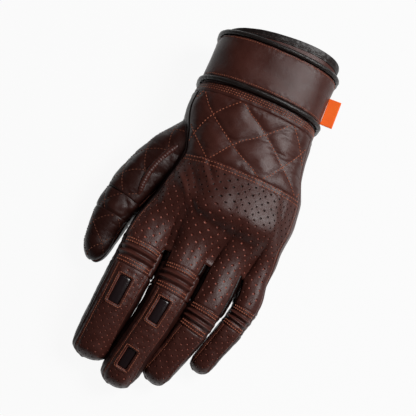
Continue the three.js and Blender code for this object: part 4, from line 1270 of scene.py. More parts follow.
def joint_piece(digit, body, node, columns, cell, first, last, side, lift, relief, material, loop=False,
                fullness=(0, 0), tucked=0.0, sunk=0.45):
    """A piece that bends across a digit's joint, from just before the joint to just after it."""
    near, far = digit.joint - digit.reach - 0.6, digit.joint + digit.reach + 0.6
    rows = np.linspace(near, far, max(8, round((far - near) / cell)) + 1)
    count = len(rows) - 1

    def at_sides(x, wide):
        """Bells over the two places of a crease that stand between fingers."""
        return [np.exp(-(((away - 3.7) / wide) ** 2)) for away in (x, columns - x)]

    def filled(x, y):
        """The crease swells between two fingers, at its thumb side and at its outer side."""
        thumb_side, outer_side = at_sides(x, 3)
        sides = fullness[0] * thumb_side + fullness[1] * outer_side
        under = smooth(1 - x) + smooth(x - columns + 1)
        return sides * smooth(y / 2.5) * smooth((count - y + 0.8) / 2.5) - tucked * under

    form = arc_form(digit, rows, columns, first, last, lift, sunk_ends=sunk, swell=filled)
    sheet, cut_edges = cut_flat(f"{node}_sewn", columns, len(rows) - 1, loop=loop)
    # A tucked crease gets painted shade where it stands between two fingers.
    shade = (lambda x, y: 0.55 * sum(at_sides(x, 3.2))) if tucked else None
    skin = Skin(form, side, cut_edges, (), relief(count), shade=shade)
    wrap(sheet, skin)
    blend_piece(sheet, material, digit, body, node)
    return skin, columns, count


def fold_relief(rows):
    """A deep fold across the middle of a crease with a shallower one on either side."""

    def relief(base, x, y):
        deep = -0.55 * np.exp(-(((y - rows * 0.5) / 1.6) ** 2))
        shallow = 0.35 * np.cos(4 * np.pi * y / rows) * smooth(np.minimum(y, rows - y) / 2)
        return deep + shallow + 0.1 * ripples(base, 5, 97)

    return relief


def always(value):
    """A share that stays the same along a digit."""
    return lambda share: value + 0 * share


CREASE_FULLNESS = {"index": (0, 1.6), "middle": (1.35, 1.3), "ring": (1.2, -0.3), "little": (-0.1, 0)}
STRETCH_SKINS = {}
for finger in FINGERS:
    body = f"{finger.name}_finger"
    wide = round(finger.width * 0.85 / 1.4)
    STRETCH_SKINS[finger.name] = joint_piece(
        finger, body, f"{finger.name}_stretch_panel", wide, 0.5, always(1 - FINGER_EDGE), always(FINGER_EDGE), -1,
        (0, 0, GAP), lambda rows: ridge_relief(RIDGES, rows, 1.8), smooth_leather)
    joint_piece(finger, body, f"{finger.name}_crease", 28, 1.0, always(1 - FINGER_EDGE), always(2 + FINGER_EDGE),
                1, (0, 0, -GAP), fold_relief, smooth_leather,
                fullness=CREASE_FULLNESS[finger.name], tucked=0.6)


def thumb_bend(rows):
    """The quilting's diamonds run on over the thumb's joint, flatter than beside it, and fade under the thumb."""

    def relief(base, x, y):
        over, along = (x / 24 - 0.2) / 1.1 * 48, 70 + y * 15.2 / rows / 1.04
        diamond = np.abs(np.sin(np.pi * (over - 4 + along) / 20) * np.sin(np.pi * (over - 4 - along) / 20)) ** 0.7
        inside = smooth(over / 3) * smooth((48 - over) / 3)
        return inside * 1.1 * diamond * smooth(np.minimum(y, rows - y) / 2.5) + 0.1 * ripples(base, 5, 99)

    return relief


def thumb_bend_lines(rows):
    """The sewn lines over the thumb's joint."""
    lines = []
    along = np.linspace(0.3, rows - 0.3, 24)
    for k in range(-8, 9):
        for slope in (1, -1):
            over = 4 + 20 * k + slope * (70 + along * 15.2 / rows / 1.04)
            if (over > 2).all() and (over < 46).all():
                lines.append(((over / 48 * 1.1 + 0.2) * 24, along))
    return lines


# The thumb's crease is cut from the leather darkened as painted shade.
THUMB_BEND = joint_piece(THUMB, "thumb_tip", "thumb_crease", 48, 1.0, always(0.0), always(2.0), 1, (0, 0, 0),
                         thumb_bend, shaded_leather, loop=True, sunk=-0.15)

for name, windows in WINDOWS.items():
    finger = next(one for one in FINGERS if one.name == name)
    for label, middle, length in windows:
        columns, count = 8, round((length + 3) / 1.0)
        rows = np.linspace(middle - length / 2 - 1.5, middle + length / 2 + 1.5, count + 1)
        form = arc_form(finger, rows, columns, always(0.6), always(0.4), (0, 0, GAP), inset=1.75)

        def domed(base, x, y, columns=columns, count=count):
            """Padded leather, fullest in the middle of its window."""
            return 0.85 * smooth(1.25 - np.abs(2 * x / columns - 1)) * smooth(np.minimum(y, count - y) / 2.6)

        dress(label, window_leather, f"{name}_finger", (columns, count), form, -1, slot="black_leather", thickness=0.5,
              relief=domed)

# %% [markdown]
# ## The thumb
# The thumb is a tube of its own that grows out of the side of the hand: a quilted back and a plain front, cut
# where they meet the hand, and a cord of rolled leather that covers the seam round its root.
# %% Thumb
THUMB_BACK = (0.2, 1.3)
THUMB_FRONT = (1.3, 2.2)
OUTWARD = np.array([-GAP, 0, GAP]) * math.sqrt(0.5)
thumb_split = THUMB.joint - THUMB.reach
base_rows = np.linspace(0, thumb_split, 57)
tip_rows = THUMB.rows_to_tip(THUMB.joint + THUMB.reach, 1.3)


def thumb_relief(base, x, y):
    """Soft waves and creases of the quilted thumb."""
    return 0.3 * ripples(base * (1, 0.6, 1), 13, 131) - 0.15 * creases(base, 9, 137)


def thumb_front_relief(base, x, y):
    """The same for its front, held flat where it rests on the floor."""
    lift = 0.3 * ripples(base * (1, 0.6, 1), 13, 141) - 0.2 * creases(base * (1, 1.5, 1), 9, 147)
    return np.where(base[:, 2] < 2.5, np.maximum(lift * 0.3, -0.1), lift)


# The thumb's pieces are cut from the leather darkened as painted shade.
form = arc_form(THUMB, base_rows, 36, always(THUMB_FRONT[0]), always(THUMB_FRONT[1]), -OUTWARD)
dress("thumb_base_front", shaded_leather, "root", (36, 56), form, 1, slot="brown_leather", relief=thumb_front_relief,
      rim=0.3, cutter=[hand_cutter])
form = arc_form(THUMB, tip_rows, 28, always(THUMB_FRONT[0]), always(THUMB_FRONT[1]), -OUTWARD)
dress("thumb_front", shaded_leather, "thumb_tip", (28, len(tip_rows) - 1), form, 1, relief=thumb_front_relief, rim=0.3)
lining_rows = THUMB.rows_to_tip(THUMB.joint + THUMB.reach, 3.0)
form = arc_form(THUMB, lining_rows, 24, always(0.0), always(2.0), inset=LINING_INSET)
dress("thumb_lining", lining_cloth, "thumb_tip", (24, len(lining_rows) - 1), form, 1, slot="lining_cloth",
      thickness=LINING, loop=True)

# %% [markdown]
# ## Quilting
# Quilted leather is sewn through foam in diamonds, so it swells between its sewn lines. That is best left to
# a cloth simulation: a sheet on the hand's form is held along every sewn line and along its edges, a little
# wider than the space that it covers, and air pressure lifts what is free. Scaled up a hundred times, it moves as
# quickly as a large cushion would. The thumb's back is made in the same way.
# %% Quilted pieces
QUILT_SCALE = 0.1  # one millimetre of leather is a tenth of a metre in the simulation
QUILT_PRESSURE = 3.0
QUILT_STEPS = 22
QUILT_CAP = 2.6  # the furthest that a point is taken to have moved
QUILT_SHARE = 0.72  # what the stiff leather keeps of the simulated swelling


def quilted_sheet(name, columns, rows, form, side, sewn, fullness, shut):
    """A sheet that is held along its sewn lines and swells between them."""
    sheet = flat_grid(name, columns, rows)
    flat = points_of(sheet)
    x, y = np.round(flat[:, 0]), np.round(flat[:, 1])
    base, normal = surface(form, flat[:, 0], np.minimum(flat[:, 1], rows - shut), side)
    move_points(sheet, (base + 0.05 * normal) * QUILT_SCALE)
    held = sheet.vertex_groups.new(name="held")
    fixed = sewn(x, y) | (x < 0.5) | (y < 0.5) | (x > columns - 0.5) | (y > rows - 0.5)
    held.add([int(i) for i in np.flatnonzero(fixed)], 1.0, "REPLACE")
    mesh = bmesh.new()
    mesh.from_mesh(sheet.data)
    middle = mesh.faces[:][len(mesh.faces) // 2]
    outward = normal[[v.index for v in middle.verts]].mean(axis=0)
    if middle.normal.dot(Vector(outward)) < 0:
        bmesh.ops.reverse_faces(mesh, faces=mesh.faces)
    mesh.to_mesh(sheet.data)
    mesh.free()
    cloth = sheet.modifiers.new("swell", "CLOTH")
    settings = cloth.settings
    settings.quality = 5
    settings.mass = 0.15
    settings.tension_stiffness = settings.compression_stiffness = 40
    settings.shear_stiffness = 12
    settings.bending_stiffness = 0.6
    settings.air_damping = 2.0
    settings.shrink_min = -fullness
    settings.use_pressure = True
    settings.uniform_pressure_force = QUILT_PRESSURE
    settings.vertex_group_mass = "held"
    settings.effector_weights.gravity = 0
    cloth.collision_settings.use_collision = False
    scene = bpy.context.scene
    for step in range(1, QUILT_STEPS + 1):
        scene.frame_set(step)
    solved = sheet.evaluated_get(bpy.context.evaluated_depsgraph_get())
    swollen = np.array([v.co for v in solved.data.vertices]) / QUILT_SCALE
    sheet.modifiers.remove(cloth)
    scene.frame_set(1)
    move = swollen - base
    length = np.linalg.norm(move, axis=1)
    move *= QUILT_SHARE * np.minimum(1, QUILT_CAP / np.maximum(length, 1e-9))[:, None]
    rise = (move * normal).sum(axis=1)
    print(f"{name}: swells by {rise.max():.2f} mm, {np.median(rise[~fixed]):.2f} mm in the middle")
    return sheet, base, normal, move, rise


def quilt_lines(period, shift=0):
    """Sewn lines at half a right angle both ways, so many cells apart."""
    return lambda x, y: ((x - shift + y) % period == 0) | ((x - shift - y) % period == 0)


def dress_quilt(node, body, columns, rows, form, side, sewn, fullness, relief, material, cutter=None, fill=0.5,
                shut=0.0):
    """Quilts the piece for one plain solid. Where it closes at a tip, its last row stays just short of a point."""
    sheet, base, normal, move, rise = quilted_sheet(f"{node}_sewn", columns, rows, form, side, sewn, fullness, shut)
    move_points(sheet, (base + move + normal * relief(base, None, None)[:, None]) * MM)
    # The swollen tops take the rubbed colour, and the held sewn lines are darkened as painted shade.
    store(sheet, "proud", np.clip((rise - 0.15) / 2.2, -0.6, 0.5) - 0.35 * (rise < 0.12))
    store(sheet, "hole", np.zeros(len(base)))
    work_on(sheet)
    modify(sheet, "SOLIDIFY", thickness=LEATHER * MM, offset=-1.0)
    modify(sheet, "SUBSURF", levels=1, render_levels=1)
    join_and_face_out(sheet)
    if cutter:
        cut_away(sheet, *cutter)
    bpy.ops.object.shade_smooth_by_angle(angle=math.radians(60))
    finish_piece(sheet, material, body, node, slot="quilted_leather")


def quilt_form(columns, rows):
    def form(x, y):
        x, y = paired(x, y)
        share = (1 - HAND_EDGE) - (1 - 2 * HAND_EDGE) * x / columns
        under = smooth((y - rows + 1.6) / 1.6) + smooth((1.6 - y) / 1.6)
        place = hand_point(QUILT_START - 0.6 + (QUILT_LENGTH + 1.2) * y / rows, share, 0.7 * under)
        place[..., 2] += GAP
        return place

    return form


QUILT_SIZE = (84, 42)  # seven cells to the quarter of a diamond
HAND_DIAMONDS, THUMB_DIAMONDS, TIP_DIAMONDS = (28, 7), (20, 4), (20, 8)  # period and shift, in cells


def quilt_relief(base, x, y):
    """Faint waves over the quilting."""
    return 0.1 * ripples(base, 10, 151)


hand_quilt_form = quilt_form(*QUILT_SIZE)
dress_quilt("quilted_panel", "root", *QUILT_SIZE, hand_quilt_form, -1, quilt_lines(*HAND_DIAMONDS), 0.03,
            quilt_relief, quilt_leather)
THUMB_SIZE = (48, 70)
thumb_quilt = arc_form(THUMB, np.linspace(0, thumb_split, 71), 48, always(THUMB_BACK[0]), always(THUMB_BACK[1]),
                       OUTWARD)
# The thumb's quilted back is the leather darkened as painted shade, sewn with the shaded thread.
dress_quilt("thumb_base_back", "root", *THUMB_SIZE, thumb_quilt, 1, quilt_lines(*THUMB_DIAMONDS), 0.03,
            thumb_relief, shaded_leather, cutter=[hand_cutter], fill=0.4)
tip_quilt_rows = THUMB.rows_to_tip(THUMB.joint + THUMB.reach, 1.04)
thumb_tip_quilt = arc_form(THUMB, tip_quilt_rows, 36, always(THUMB_BACK[0]), always(THUMB_BACK[1]), OUTWARD)
dress_quilt("thumb_back", "thumb_tip", 36, len(tip_quilt_rows) - 1, thumb_tip_quilt, 1,
            quilt_lines(*TIP_DIAMONDS), 0.02, thumb_relief, shaded_leather, fill=0.4, shut=0.3)

# %% [markdown]
# ## The cuff
# The sleeve ends in a slanted mouth that is bound in black leather. A wide strap goes round it, edged top and
# bottom with piping, which is a strip of glossy leather sewn round a cord, and closes underneath with a flap.
# %% Cuff pieces
RING = 144


def ring_form(point, knots, columns=RING, first=0.0, last=2.0, inset=0.0, rows=None):
    """A band round the wrist: its rows stand at distances from the rim."""
    steps = np.linspace(0, rows or len(knots) - 1, len(knots))

    def form(x, y):
        x, y = paired(x, y)
        slope_first = (knots[1] - knots[0]) / (steps[1] - steps[0])
        slope_last = (knots[-1] - knots[-2]) / (steps[-1] - steps[-2])
        at = np.interp(y, steps, knots) + slope_first * np.minimum(y, 0) + slope_last * np.maximum(y - steps[-1], 0)
        return point(at, first + (last - first) * x / columns, inset)

    return form


def band_relief(base, x, y):
    """A stiff strap's wide waves."""
    return 0.16 * ripples(base * (1, 1, 0.6), 16, 161) - 0.07 * creases(base, 10, 167)


def soft_relief(base, x, y):
    """Faint waves."""
    return 0.1 * ripples(base, 9, 171)


tape_form = ring_form(hand_point, [TAPE_START, SLEEVE_START + 0.5], rows=5, inset=-0.15)
tape_lines = [(np.linspace(shift, RING + shift, 300), np.full(300, line))
              for line, shift in ((1.0, 0), (2.0, 0.4), (3.0, 0))]
tape_skin = dress("wrist_tape", smooth_leather, "root", (RING, 5), tape_form, 1, loop=True, relief=soft_relief,
                  seams=tape_lines, groove=0.22)
sleeve_form = ring_form(mouth_point, [BINDING + GAP * 0.3, TAPE_START - GAP * 0.3], rows=30)
dress("cuff_sleeve", smooth_leather, "root", (RING, 30), sleeve_form, 1, loop=True, relief=soft_relief)
folded_form = ring_form(mouth_point, [0.3, 5.6], rows=8, inset=-0.55)
folded_skin = dress("binding_fold", binding_leather, "root", (RING, 8), folded_form, 1, slot="black_leather", loop=True,
                    thickness=0.9, relief=soft_relief, seams=[(np.linspace(0, RING, 300), np.full(300, 5.4))], groove=0.25,
                    stands_for=())
binding_form = ring_form(mouth_point, [0, BINDING], rows=3)
dress("rim_binding", binding_leather, "root", (RING, 3), binding_form, 1, slot="black_leather", loop=True,
      thickness=LINING_INSET + LINING, relief=lambda base, x, y: 0.12 * ripples(base, 5, 173))

FLAP_EDGE = 0.235
BAND_THICKNESS = 2.0
band_columns, band_rows = 104, 22
band_form = ring_form(hand_point, [BAND_START, BAND_END], band_columns, -FLAP_EDGE, 1 + FLAP_EDGE,
                      -GAP - BAND_THICKNESS, band_rows)
along_band = np.linspace(0.8, band_columns - 0.8, 300)
band_lines = [(along_band, np.full(300, line)) for line in (0.9, band_rows - 0.9)]
band_skin = dress("cuff_band", smooth_leather, "root", (band_columns, band_rows), band_form, 1,
                  thickness=BAND_THICKNESS, seams=band_lines, relief=band_relief, groove=0.22)
flap_form = ring_form(hand_point, [BAND_START, BAND_END], 44, -1 + FLAP_EDGE, -FLAP_EDGE - 0.012, -2.9 - 1.5, 22)
flap_skin = dress("cuff_flap", smooth_leather, "wrist_flap", (44, 22), flap_form, 1, thickness=1.5,
                  seams=border(44, 22, 1.3), relief=lambda base, x, y: 0.05 * ripples(base, 14, 177), groove=0.2)


def tape_relief(base, x, y):
    """Small hooks and loops stand in rows."""
    return 0.12 * np.sin(base[:, 0] * 4.2) * np.sin(base[:, 1] * 4.2)


for node, body, last, inset in (("hook_tape", "wrist_flap", -0.5, -2.9 + GAP),
                                ("loop_tape", "root", -0.42, -GAP - 0.9)):
    form = ring_form(hand_point, [BAND_START + 3, BAND_END - 3], 34, -0.72, last, inset, 36)
    dress(node, closure_tape, body, (34, 36), form, 1, slot="closure_tape", thickness=0.85, relief=tape_relief)


# %% Piping
def cord_piece(name, path, radius, material, body, nodes, slot, seed=7, crimp=0.0, taper=0.0):
    """A round cord along a path, wrinkled a little as leather is when it is sewn round a core."""
    curve = bpy.data.curves.new(name, "CURVE")
    curve.dimensions = "3D"
    curve.bevel_depth = radius * MM
    curve.bevel_resolution = 4
    curve.use_fill_caps = True
    spline = curve.splines.new("POLY")
    spline.points.add(len(path) - 1)
    spline.points.foreach_set("co", np.c_[path * MM, np.ones(len(path))].ravel())
    piece = bpy.data.objects.new(name, curve)
    bpy.context.scene.collection.objects.link(piece)
    work_on(piece)
    bpy.ops.object.convert(target="MESH")
    piece = bpy.context.object
    points = points_of(piece) / MM
    tree = tree_of(path)
    spots = np.array([tree.find(point)[1] for point in points])
    away = points - path[spots]
    lift = 0.05 * ripples(points, 2.6, seed) - 0.09 * creases(points, 4.5, seed + 3)
    steps = run_along(path)
    run = steps[spots]
    lift += crimp * np.cos(2 * np.pi * run / 1.9 + 0.6 * ripples(points, 9, seed + 5))
    if taper:
        lift -= 0.75 * radius * (1 - smooth(np.minimum(run, steps[-1] - run) / taper))
    points += away * (lift / radius)[:, None]
    move_points(piece, points * MM)
    # Raised places take the rubbed colour, and the creases are darkened as painted shade.
    store(piece, "proud", np.clip(lift / 0.2, -0.6, 0.6))
    store(piece, "hole", np.zeros(len(points)))
    bpy.ops.object.shade_smooth_by_angle(angle=math.radians(50))
    return finish_piece(piece, material, body, *nodes, slot=slot)


piping_shares = np.linspace(-FLAP_EDGE + 0.008, 1 + FLAP_EDGE - 0.008, 220)
for node, at in (("band_piping_upper", BAND_START - GAP - PIPING_RADIUS),
                 ("band_piping_lower", BAND_END + GAP + PIPING_RADIUS)):
    path = hand_point(at, piping_shares, -2.2)
    cord_piece(f"{node}_sewn", path, PIPING_RADIUS, piping_leather, "root", [node], "black_leather")

# %% Side tab
TAB_REACH, TAB_LENGTH, TAB_THICKNESS = 8.5, 19.0, 1.0
tab_root = hand_point(30.5, 0.01, -GAP - BAND_THICKNESS - GAP)
clear_selection()
bpy.ops.mesh.primitive_cube_add(size=1)
tab = bpy.context.object
tab.name = tab.data.name = "side_tab_sewn"
tab.scale = (TAB_REACH, TAB_LENGTH, TAB_THICKNESS)
bpy.ops.object.transform_apply(scale=True)
bpy.ops.object.mode_set(mode="EDIT")
bpy.ops.mesh.select_all(action="SELECT")
bpy.ops.mesh.subdivide(number_cuts=14)
bpy.ops.object.mode_set(mode="OBJECT")
tab_points = points_of(tab)
out = tab_points[:, 0] / TAB_REACH + 0.5
fold_end = np.sqrt(np.clip(1 - (np.maximum(0, out - 0.93) / 0.07) ** 2, 0.1, 1))
tab_points[:, 2] = tab_points[:, 2] * fold_end * (0.75 + 0.25 * out)
tab_points[:, 2] += 0.5 * np.sin(out * 1.8) * (tab_points[:, 1] / TAB_LENGTH) + 0.25 * out**2
lean = ROW_SLOPE + 0.02
tab_points[:, 0] += TAB_REACH / 2 - 0.25
turned = tab_points.copy()
turned[:, 0] = tab_points[:, 0] * math.cos(lean) - tab_points[:, 1] * math.sin(lean) + tab_root[0]
turned[:, 1] = tab_points[:, 0] * math.sin(lean) + tab_points[:, 1] * math.cos(lean) + tab_root[1]
turned[:, 2] += tab_root[2]
move_points(tab, turned * MM)
modify(tab, "BEVEL", width=0.25 * MM, segments=2)
bpy.ops.object.shade_smooth_by_angle(angle=math.radians(40))
finish_piece(tab, orange_tape, "root", "side_tab", slot="tab_cloth")

# %% Knuckle guard
guard_columns, guard_rows = 40, 24
GUARD_THICKNESS = 1.2


def guard_form(x, y):
    """The foam guard's upper face, just under the perforated leather."""
    x, y = paired(x, y)
    part, down = x / guard_columns * 2 - 1, y / guard_rows * 2 - 1
    place_x = 16 + 28.5 * part * (1 - 0.06 * np.abs(down) ** 6)
    place_y = 5 - 13.5 * down * (1 - 0.08 * np.abs(part) ** 6)
    height = face_height(place_x, place_y, 1, BACK_ROUNDNESS) + guard_lift(place_x, place_y)
    return np.stack([place_x, place_y, height - LEATHER - GUARD_THICKNESS], axis=-1)


dress("knuckle_guard", guard_foam, "root", (guard_columns, guard_rows), guard_form, -1, slot="guard_foam",
      thickness=GUARD_THICKNESS,
      relief=lambda base, x, y: -0.2 * smooth(np.sin(x * 0.8) * 3) * smooth(np.sin(y * 0.8) * 3))

# %% [markdown]
# ## Stitches
# A lockstitch shows as a row of short bars, each a little sunk at its ends where the thread goes down through
# its holes. One bar is modelled, and its copies are laid along the sewn lines of the finished leather.
# %% One stitch and its copies
clear_selection()
bpy.ops.mesh.primitive_uv_sphere_add(segments=6, ring_count=6, radius=0.5)
stitch = bpy.context.object
stitch.rotation_euler = (0, math.pi / 2, 0)
bpy.ops.object.transform_apply(rotation=True)
STITCH_POINTS = points_of(stitch).copy()
STITCH_FACES = [tuple(face.vertices) for face in stitch.data.polygons]
bpy.data.objects.remove(stitch)
PITCH, BAR, THICK = 2.3, 1.75, 0.68


def lay_stitches(line, normals, pitch, bar, thick):
    """The corner points of every stitch along a line."""
    run = run_along(line)
    count = max(1, int(run[-1] // pitch))
    spare = (run[-1] - count * pitch) / 2
    marks = spare + (np.arange(count) + 0.5) * pitch
    at = lambda values, where: np.stack([np.interp(where, run, values[:, k]) for k in range(3)], axis=1)
    middle, over = at(line, marks), at(normals, marks)
    along = at(line, marks + bar / 2) - at(line, marks - bar / 2)
    along /= np.maximum(np.linalg.norm(along, axis=1, keepdims=True), 1e-9)
    across_line = np.cross(over, along)
    shape = STITCH_POINTS * (bar, thick, thick * 0.85)
    sunk = -0.5 * thick * (STITCH_POINTS[:, 0] * 2) ** 2
    return (middle[:, None] + shape[None, :, 0:1] * along[:, None] + shape[None, :, 1:2] * across_line[:, None]
            + (shape[:, 2] + sunk)[None, :, None] * over[:, None])


def sew(name, body, rows, pitch=PITCH, bar=BAR, thick=THICK, proud=0.14, on=None, bends=None, material=thread,
        where=None):
    """One piece of thread: its rows are pairs of a skin and a line on its flat sheet."""
    bars = []
    for skin, (x, y) in rows:
        fine = np.linspace(0, len(x) - 1, max(len(x), 60) * 3)
        fine_x, fine_y = np.interp(fine, np.arange(len(x)), x), np.interp(fine, np.arange(len(y)), y)
        line, normals = skin.lay(fine_x, fine_y, proud)
        bars.append(lay_stitches(line, normals, pitch, bar, thick))
    bars = np.concatenate(bars)
    if on:
        leather = tree_of(points_of(DRESSED[on])[::3] / MM)
        bars = bars[nearest(leather, bars.mean(axis=1)) < 0.9]
    if where:
        bars = bars[where(bars.mean(axis=1))]
    size = len(STITCH_POINTS)
    faces = [tuple(v + i * size for v in face) for i in range(len(bars)) for face in STITCH_FACES]
    mesh = bpy.data.meshes.new(name)
    mesh.from_pydata((bars.reshape(-1, 3) * MM).tolist(), [], faces)
    mesh.polygons.foreach_set("use_smooth", [True] * len(faces))
    piece = bpy.data.objects.new(name, mesh)
    bpy.context.scene.collection.objects.link(piece)
    if bends:
        return blend_piece(piece, material, bends, body)
    return finish_piece(piece, material, body)


GATHERS_START, GATHERS_LENGTH = 18, 54  # along the thumb from its root
gather_part = np.linspace(0, 1, 9)
GATHERS = THUMB.point(GATHERS_START + GATHERS_LENGTH * gather_part, 0.52 - 0.03 * gather_part - 0.19 * gather_part**5,
                      -1.4 * np.sqrt(np.sin(np.pi * gather_part)))


def outside_gathers(points):
    """Keeps the thumb's quilting to the thumb's side of the gathered roll."""
    along = GATHERS[::-1]
    line = np.interp(points[:, 1], along[:, 1], along[:, 0])
    return (points[:, 0] < line - 1) | (points[:, 1] < -21)


def diamond_lines(columns, rows, period, shift):
    """The quilting's sewn lines, clipped to the sheet."""
    lines = []
    for k in range(-rows // period - 2, (columns + rows) // period + 3):
        for slope in (1, -1):
            y = np.linspace(0, rows, 121)
            x = shift + k * period + slope * y
            inside = (x > 0.8) & (x < columns - 0.8) & (y > 0.6) & (y < rows - 0.6)
            if inside.sum() > 6:
                lines.append((x[inside], y[inside]))
    return lines


sew("back_seam_stitches", "root", [(back_skin, line) for line in back_seams[:2]], 2.2, 1.65)
sew("side_seam_stitches", "root", [(back_skin, line) for line in back_seams[2:]], 1.8, 1.5, 0.34)
sew("palm_seam_stitches", "root", [(palm_skin, palm_seam)])
for node, size, skin in PATCH_SKINS:
    sew(f"{node}_stitches", "root", [(skin, line) for line in border(*size)], proud=0.02)
sew("band_stitches", "root", [(band_skin, line) for line in band_lines], 1.65, 1.2, 0.5)
sew("tape_stitches", "root", [(tape_skin, line) for line in tape_lines], 1.9, 1.35, 0.62)
sew("binding_stitches", "root", [(folded_skin, (np.linspace(0, RING, 300), np.full(300, 5.4)))], 1.8, 1.3, 0.5,
    material=dark_thread)
sew("flap_stitches", "wrist_flap", [(flap_skin, line) for line in border(44, 22, 1.3)], proud=0.02)
for name, (skin, seams) in FINGER_SKINS.items():
    sew(f"{name}_side_stitches", f"{name}_finger", [(skin, seams[0])], 1.5, 1.4, 0.36)
    if len(seams) > 1:
        sew(f"{name}_window_stitches", f"{name}_finger", [(skin, line) for line in seams[1:]], 1.5, 1.4, 0.55)
for finger in FINGERS:
    skin, wide, rows = STRETCH_SKINS[finger.name]
    span = np.linspace(0.5, wide - 0.5, 24)
    lines = [(span, np.full(24, rows * part)) for part in (0.09, 0.2, 0.8, 0.91)]
    sew(f"{finger.name}_joint_stitches", f"{finger.name}_finger", [(skin, line) for line in lines], 1.7, 1.4, 0.85,
        bends=finger)
quilt_skin = Skin(hand_quilt_form, -1, relief=quilt_relief)
sew("quilt_stitches", "root", [(quilt_skin, line) for line in diamond_lines(*QUILT_SIZE, *HAND_DIAMONDS)],
    2.4, 1.75, proud=0.3)
thumb_skin = Skin(thumb_quilt, 1, relief=thumb_relief)
sew("thumb_quilt_stitches", "root", [(thumb_skin, line) for line in diamond_lines(*THUMB_SIZE, *THUMB_DIAMONDS)],
    2.4, 1.75, 0.6, proud=0.3, on="thumb_base_back_sewn", material=shaded_thread, where=outside_gathers)
sew("thumb_bend_stitches", "thumb_tip", [(THUMB_BEND[0], line) for line in thumb_bend_lines(THUMB_BEND[2])],
    2.4, 1.75, 0.6, proud=0.3, bends=THUMB, material=shaded_thread)
tip_skin = Skin(thumb_tip_quilt, 1, relief=thumb_relief)
tip_lines = diamond_lines(36, len(tip_quilt_rows) - 6, *TIP_DIAMONDS)
sew("thumb_tip_stitches", "thumb_tip", [(tip_skin, line) for line in tip_lines], 2.4, 1.75, 0.6, proud=0.3,
    material=shaded_thread)

# %% [markdown]
# ## Rolled edges
# A thin roll of leather covers the seam at the back's thumb side, and another the line where the thumb's tube
# leaves the hand. Each is a cord along that line.
# %% Welts


def within_hand(points):
    """Which points lie inside the hand's sections."""
    part, low, high = section_over(points[:, 0], points[:, 1])
    up = (points[:, 2] - (high + low) / 2) / ((high - low) / 2)
    exponent = np.where(up > 0, BACK_ROUNDNESS, PALM_ROUNDNESS)
    return np.abs(part) ** exponent + np.abs(up) ** exponent < 1


def thumb_root(first, last, count):
    """The line on which the thumb's tube leaves the hand."""
    path = []
    for share in np.linspace(first, last, count):
        distances = np.linspace(2, thumb_split, 300)
        points = THUMB.point(distances, np.full(300, share))
        hidden = np.flatnonzero(within_hand(points))
        if len(hidden) and hidden[-1] < 298:
            path.append(points[hidden[-1]])
    return np.array(path)


def evened(path, step=1.0, blur=5):
    """A path with even steps and softened corners."""
    path = measured(path, step)
    for _ in range(blur):
        path[1:-1] = (path[:-2] + 2 * path[1:-1] + path[2:]) / 4
    return path


root_line = evened(thumb_root(0.02, 2.02, 180))
print("thumb root from", np.round(root_line[0], 1), "to", np.round(root_line[-1], 1))
# The welt round the thumb's root is the leather darkened as painted shade.
cord_piece("thumb_root_welt", root_line, 0.95, shaded_leather, "root", [], "brown_leather", seed=211)
edge_y = np.linspace(3, BACK_ROWS + BACK_TONGUES[0] - 0.5, 160)
edge_line, _ = back_skin.lay(np.full(160, 0.35), edge_y, -0.25)
cord_piece("back_edge_welt", evened(edge_line), 0.8, smooth_leather, "root", [], "brown_leather", seed=217)
gathered_line, _ = smooth_path(GATHERS - (0, 0, 1.25), 30)
cord_piece("thumb_side_gathers", evened(gathered_line, 0.45, 20), 2.3, brown_leather, "root", [], "brown_leather",
           seed=223, crimp=0.12, taper=12.0)

# %% [markdown]
# ## Floor and light
# The floor is plain and nearly white, and keeps a faint shadow. One large soft lamp stands high over the little
# finger's side of the cuff, so the thumb and the fingers lie in half shade.
# %% Stage
bpy.context.scene.view_settings.view_transform = "Standard"
world = bpy.data.worlds[0] if bpy.data.worlds else bpy.data.worlds.new("studio")
bpy.context.scene.world = world
world.use_nodes = True
world.node_tree.nodes["Background"].inputs["Color"].default_value = (1, 1, 1, 1)
world.node_tree.nodes["Background"].inputs["Strength"].default_value = 0.04


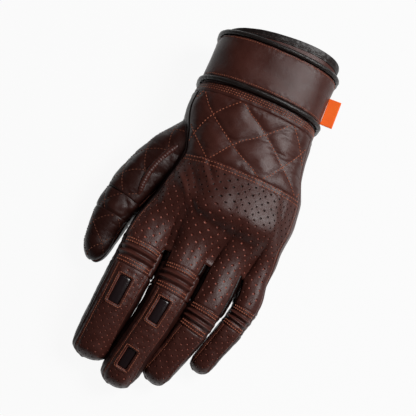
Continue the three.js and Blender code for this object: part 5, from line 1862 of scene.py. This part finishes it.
def soft_lamp(name, place, size, power, aimed=(0, 0, 0.02)):
    """A large soft lamp that faces the glove."""
    data = bpy.data.lights.new(name, "AREA")
    data.shape, data.size, data.size_y, data.energy = "RECTANGLE", size[0], size[1], power
    lamp = bpy.data.objects.new(name, data)
    bpy.context.scene.collection.objects.link(lamp)
    lamp.location = place
    lamp.rotation_euler = (Vector(aimed) - Vector(place)).to_track_quat("-Z", "Y").to_euler()
    return lamp


soft_lamp("key", (0.7, 0.54, 1.18), (0.7, 0.7), 26)

clear_selection()
bpy.ops.mesh.primitive_plane_add(size=6)
floor = bpy.context.object
floor.name = "floor"
floor_finish = bpy.data.materials.new("white floor")
floor_finish.use_nodes = True
tree = floor_finish.node_tree
tree.nodes["Principled BSDF"].inputs["Base Color"].default_value = (0.45, 0.45, 0.45, 1)
tree.nodes["Principled BSDF"].inputs["Roughness"].default_value = 0.9
glow = tree.nodes.new("ShaderNodeEmission")
glow.inputs["Strength"].default_value = 1.0
rays = tree.nodes.new("ShaderNodeLightPath")
share = tree.nodes.new("ShaderNodeMath")
share.operation = "MULTIPLY"
share.inputs[1].default_value = 0.93
blend = tree.nodes.new("ShaderNodeMixShader")
seen = tree.nodes.new("ShaderNodeMath")
seen.operation = "MAXIMUM"
clear = tree.nodes.new("ShaderNodeMath")
clear.operation = "MAXIMUM"
tree.links.new(rays.outputs["Is Camera Ray"], seen.inputs[0])
tree.links.new(rays.outputs["Is Glossy Ray"], seen.inputs[1])
tree.links.new(seen.outputs[0], clear.inputs[0])
tree.links.new(rays.outputs["Is Transmission Ray"], clear.inputs[1])
tree.links.new(clear.outputs[0], share.inputs[0])
tree.links.new(share.outputs[0], blend.inputs[0])
tree.links.new(tree.nodes["Principled BSDF"].outputs[0], blend.inputs[1])
tree.links.new(glow.outputs[0], blend.inputs[2])
tree.links.new(blend.outputs[0], tree.nodes["Material Output"].inputs["Surface"])
floor.data.materials.append(floor_finish)
floor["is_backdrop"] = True

# %% [markdown]
# ## Sizes
# The size of the dressed glove's box is printed. The dressed glove has to keep to the
# plain solids' box.
# %% Finish
for tool in (thumb_cutter, hand_cutter):
    bpy.data.objects.remove(tool)
low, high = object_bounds()
print("visual box:", [round(1000 * (b - a), 1) for a, b in zip(low, high)], "mm")
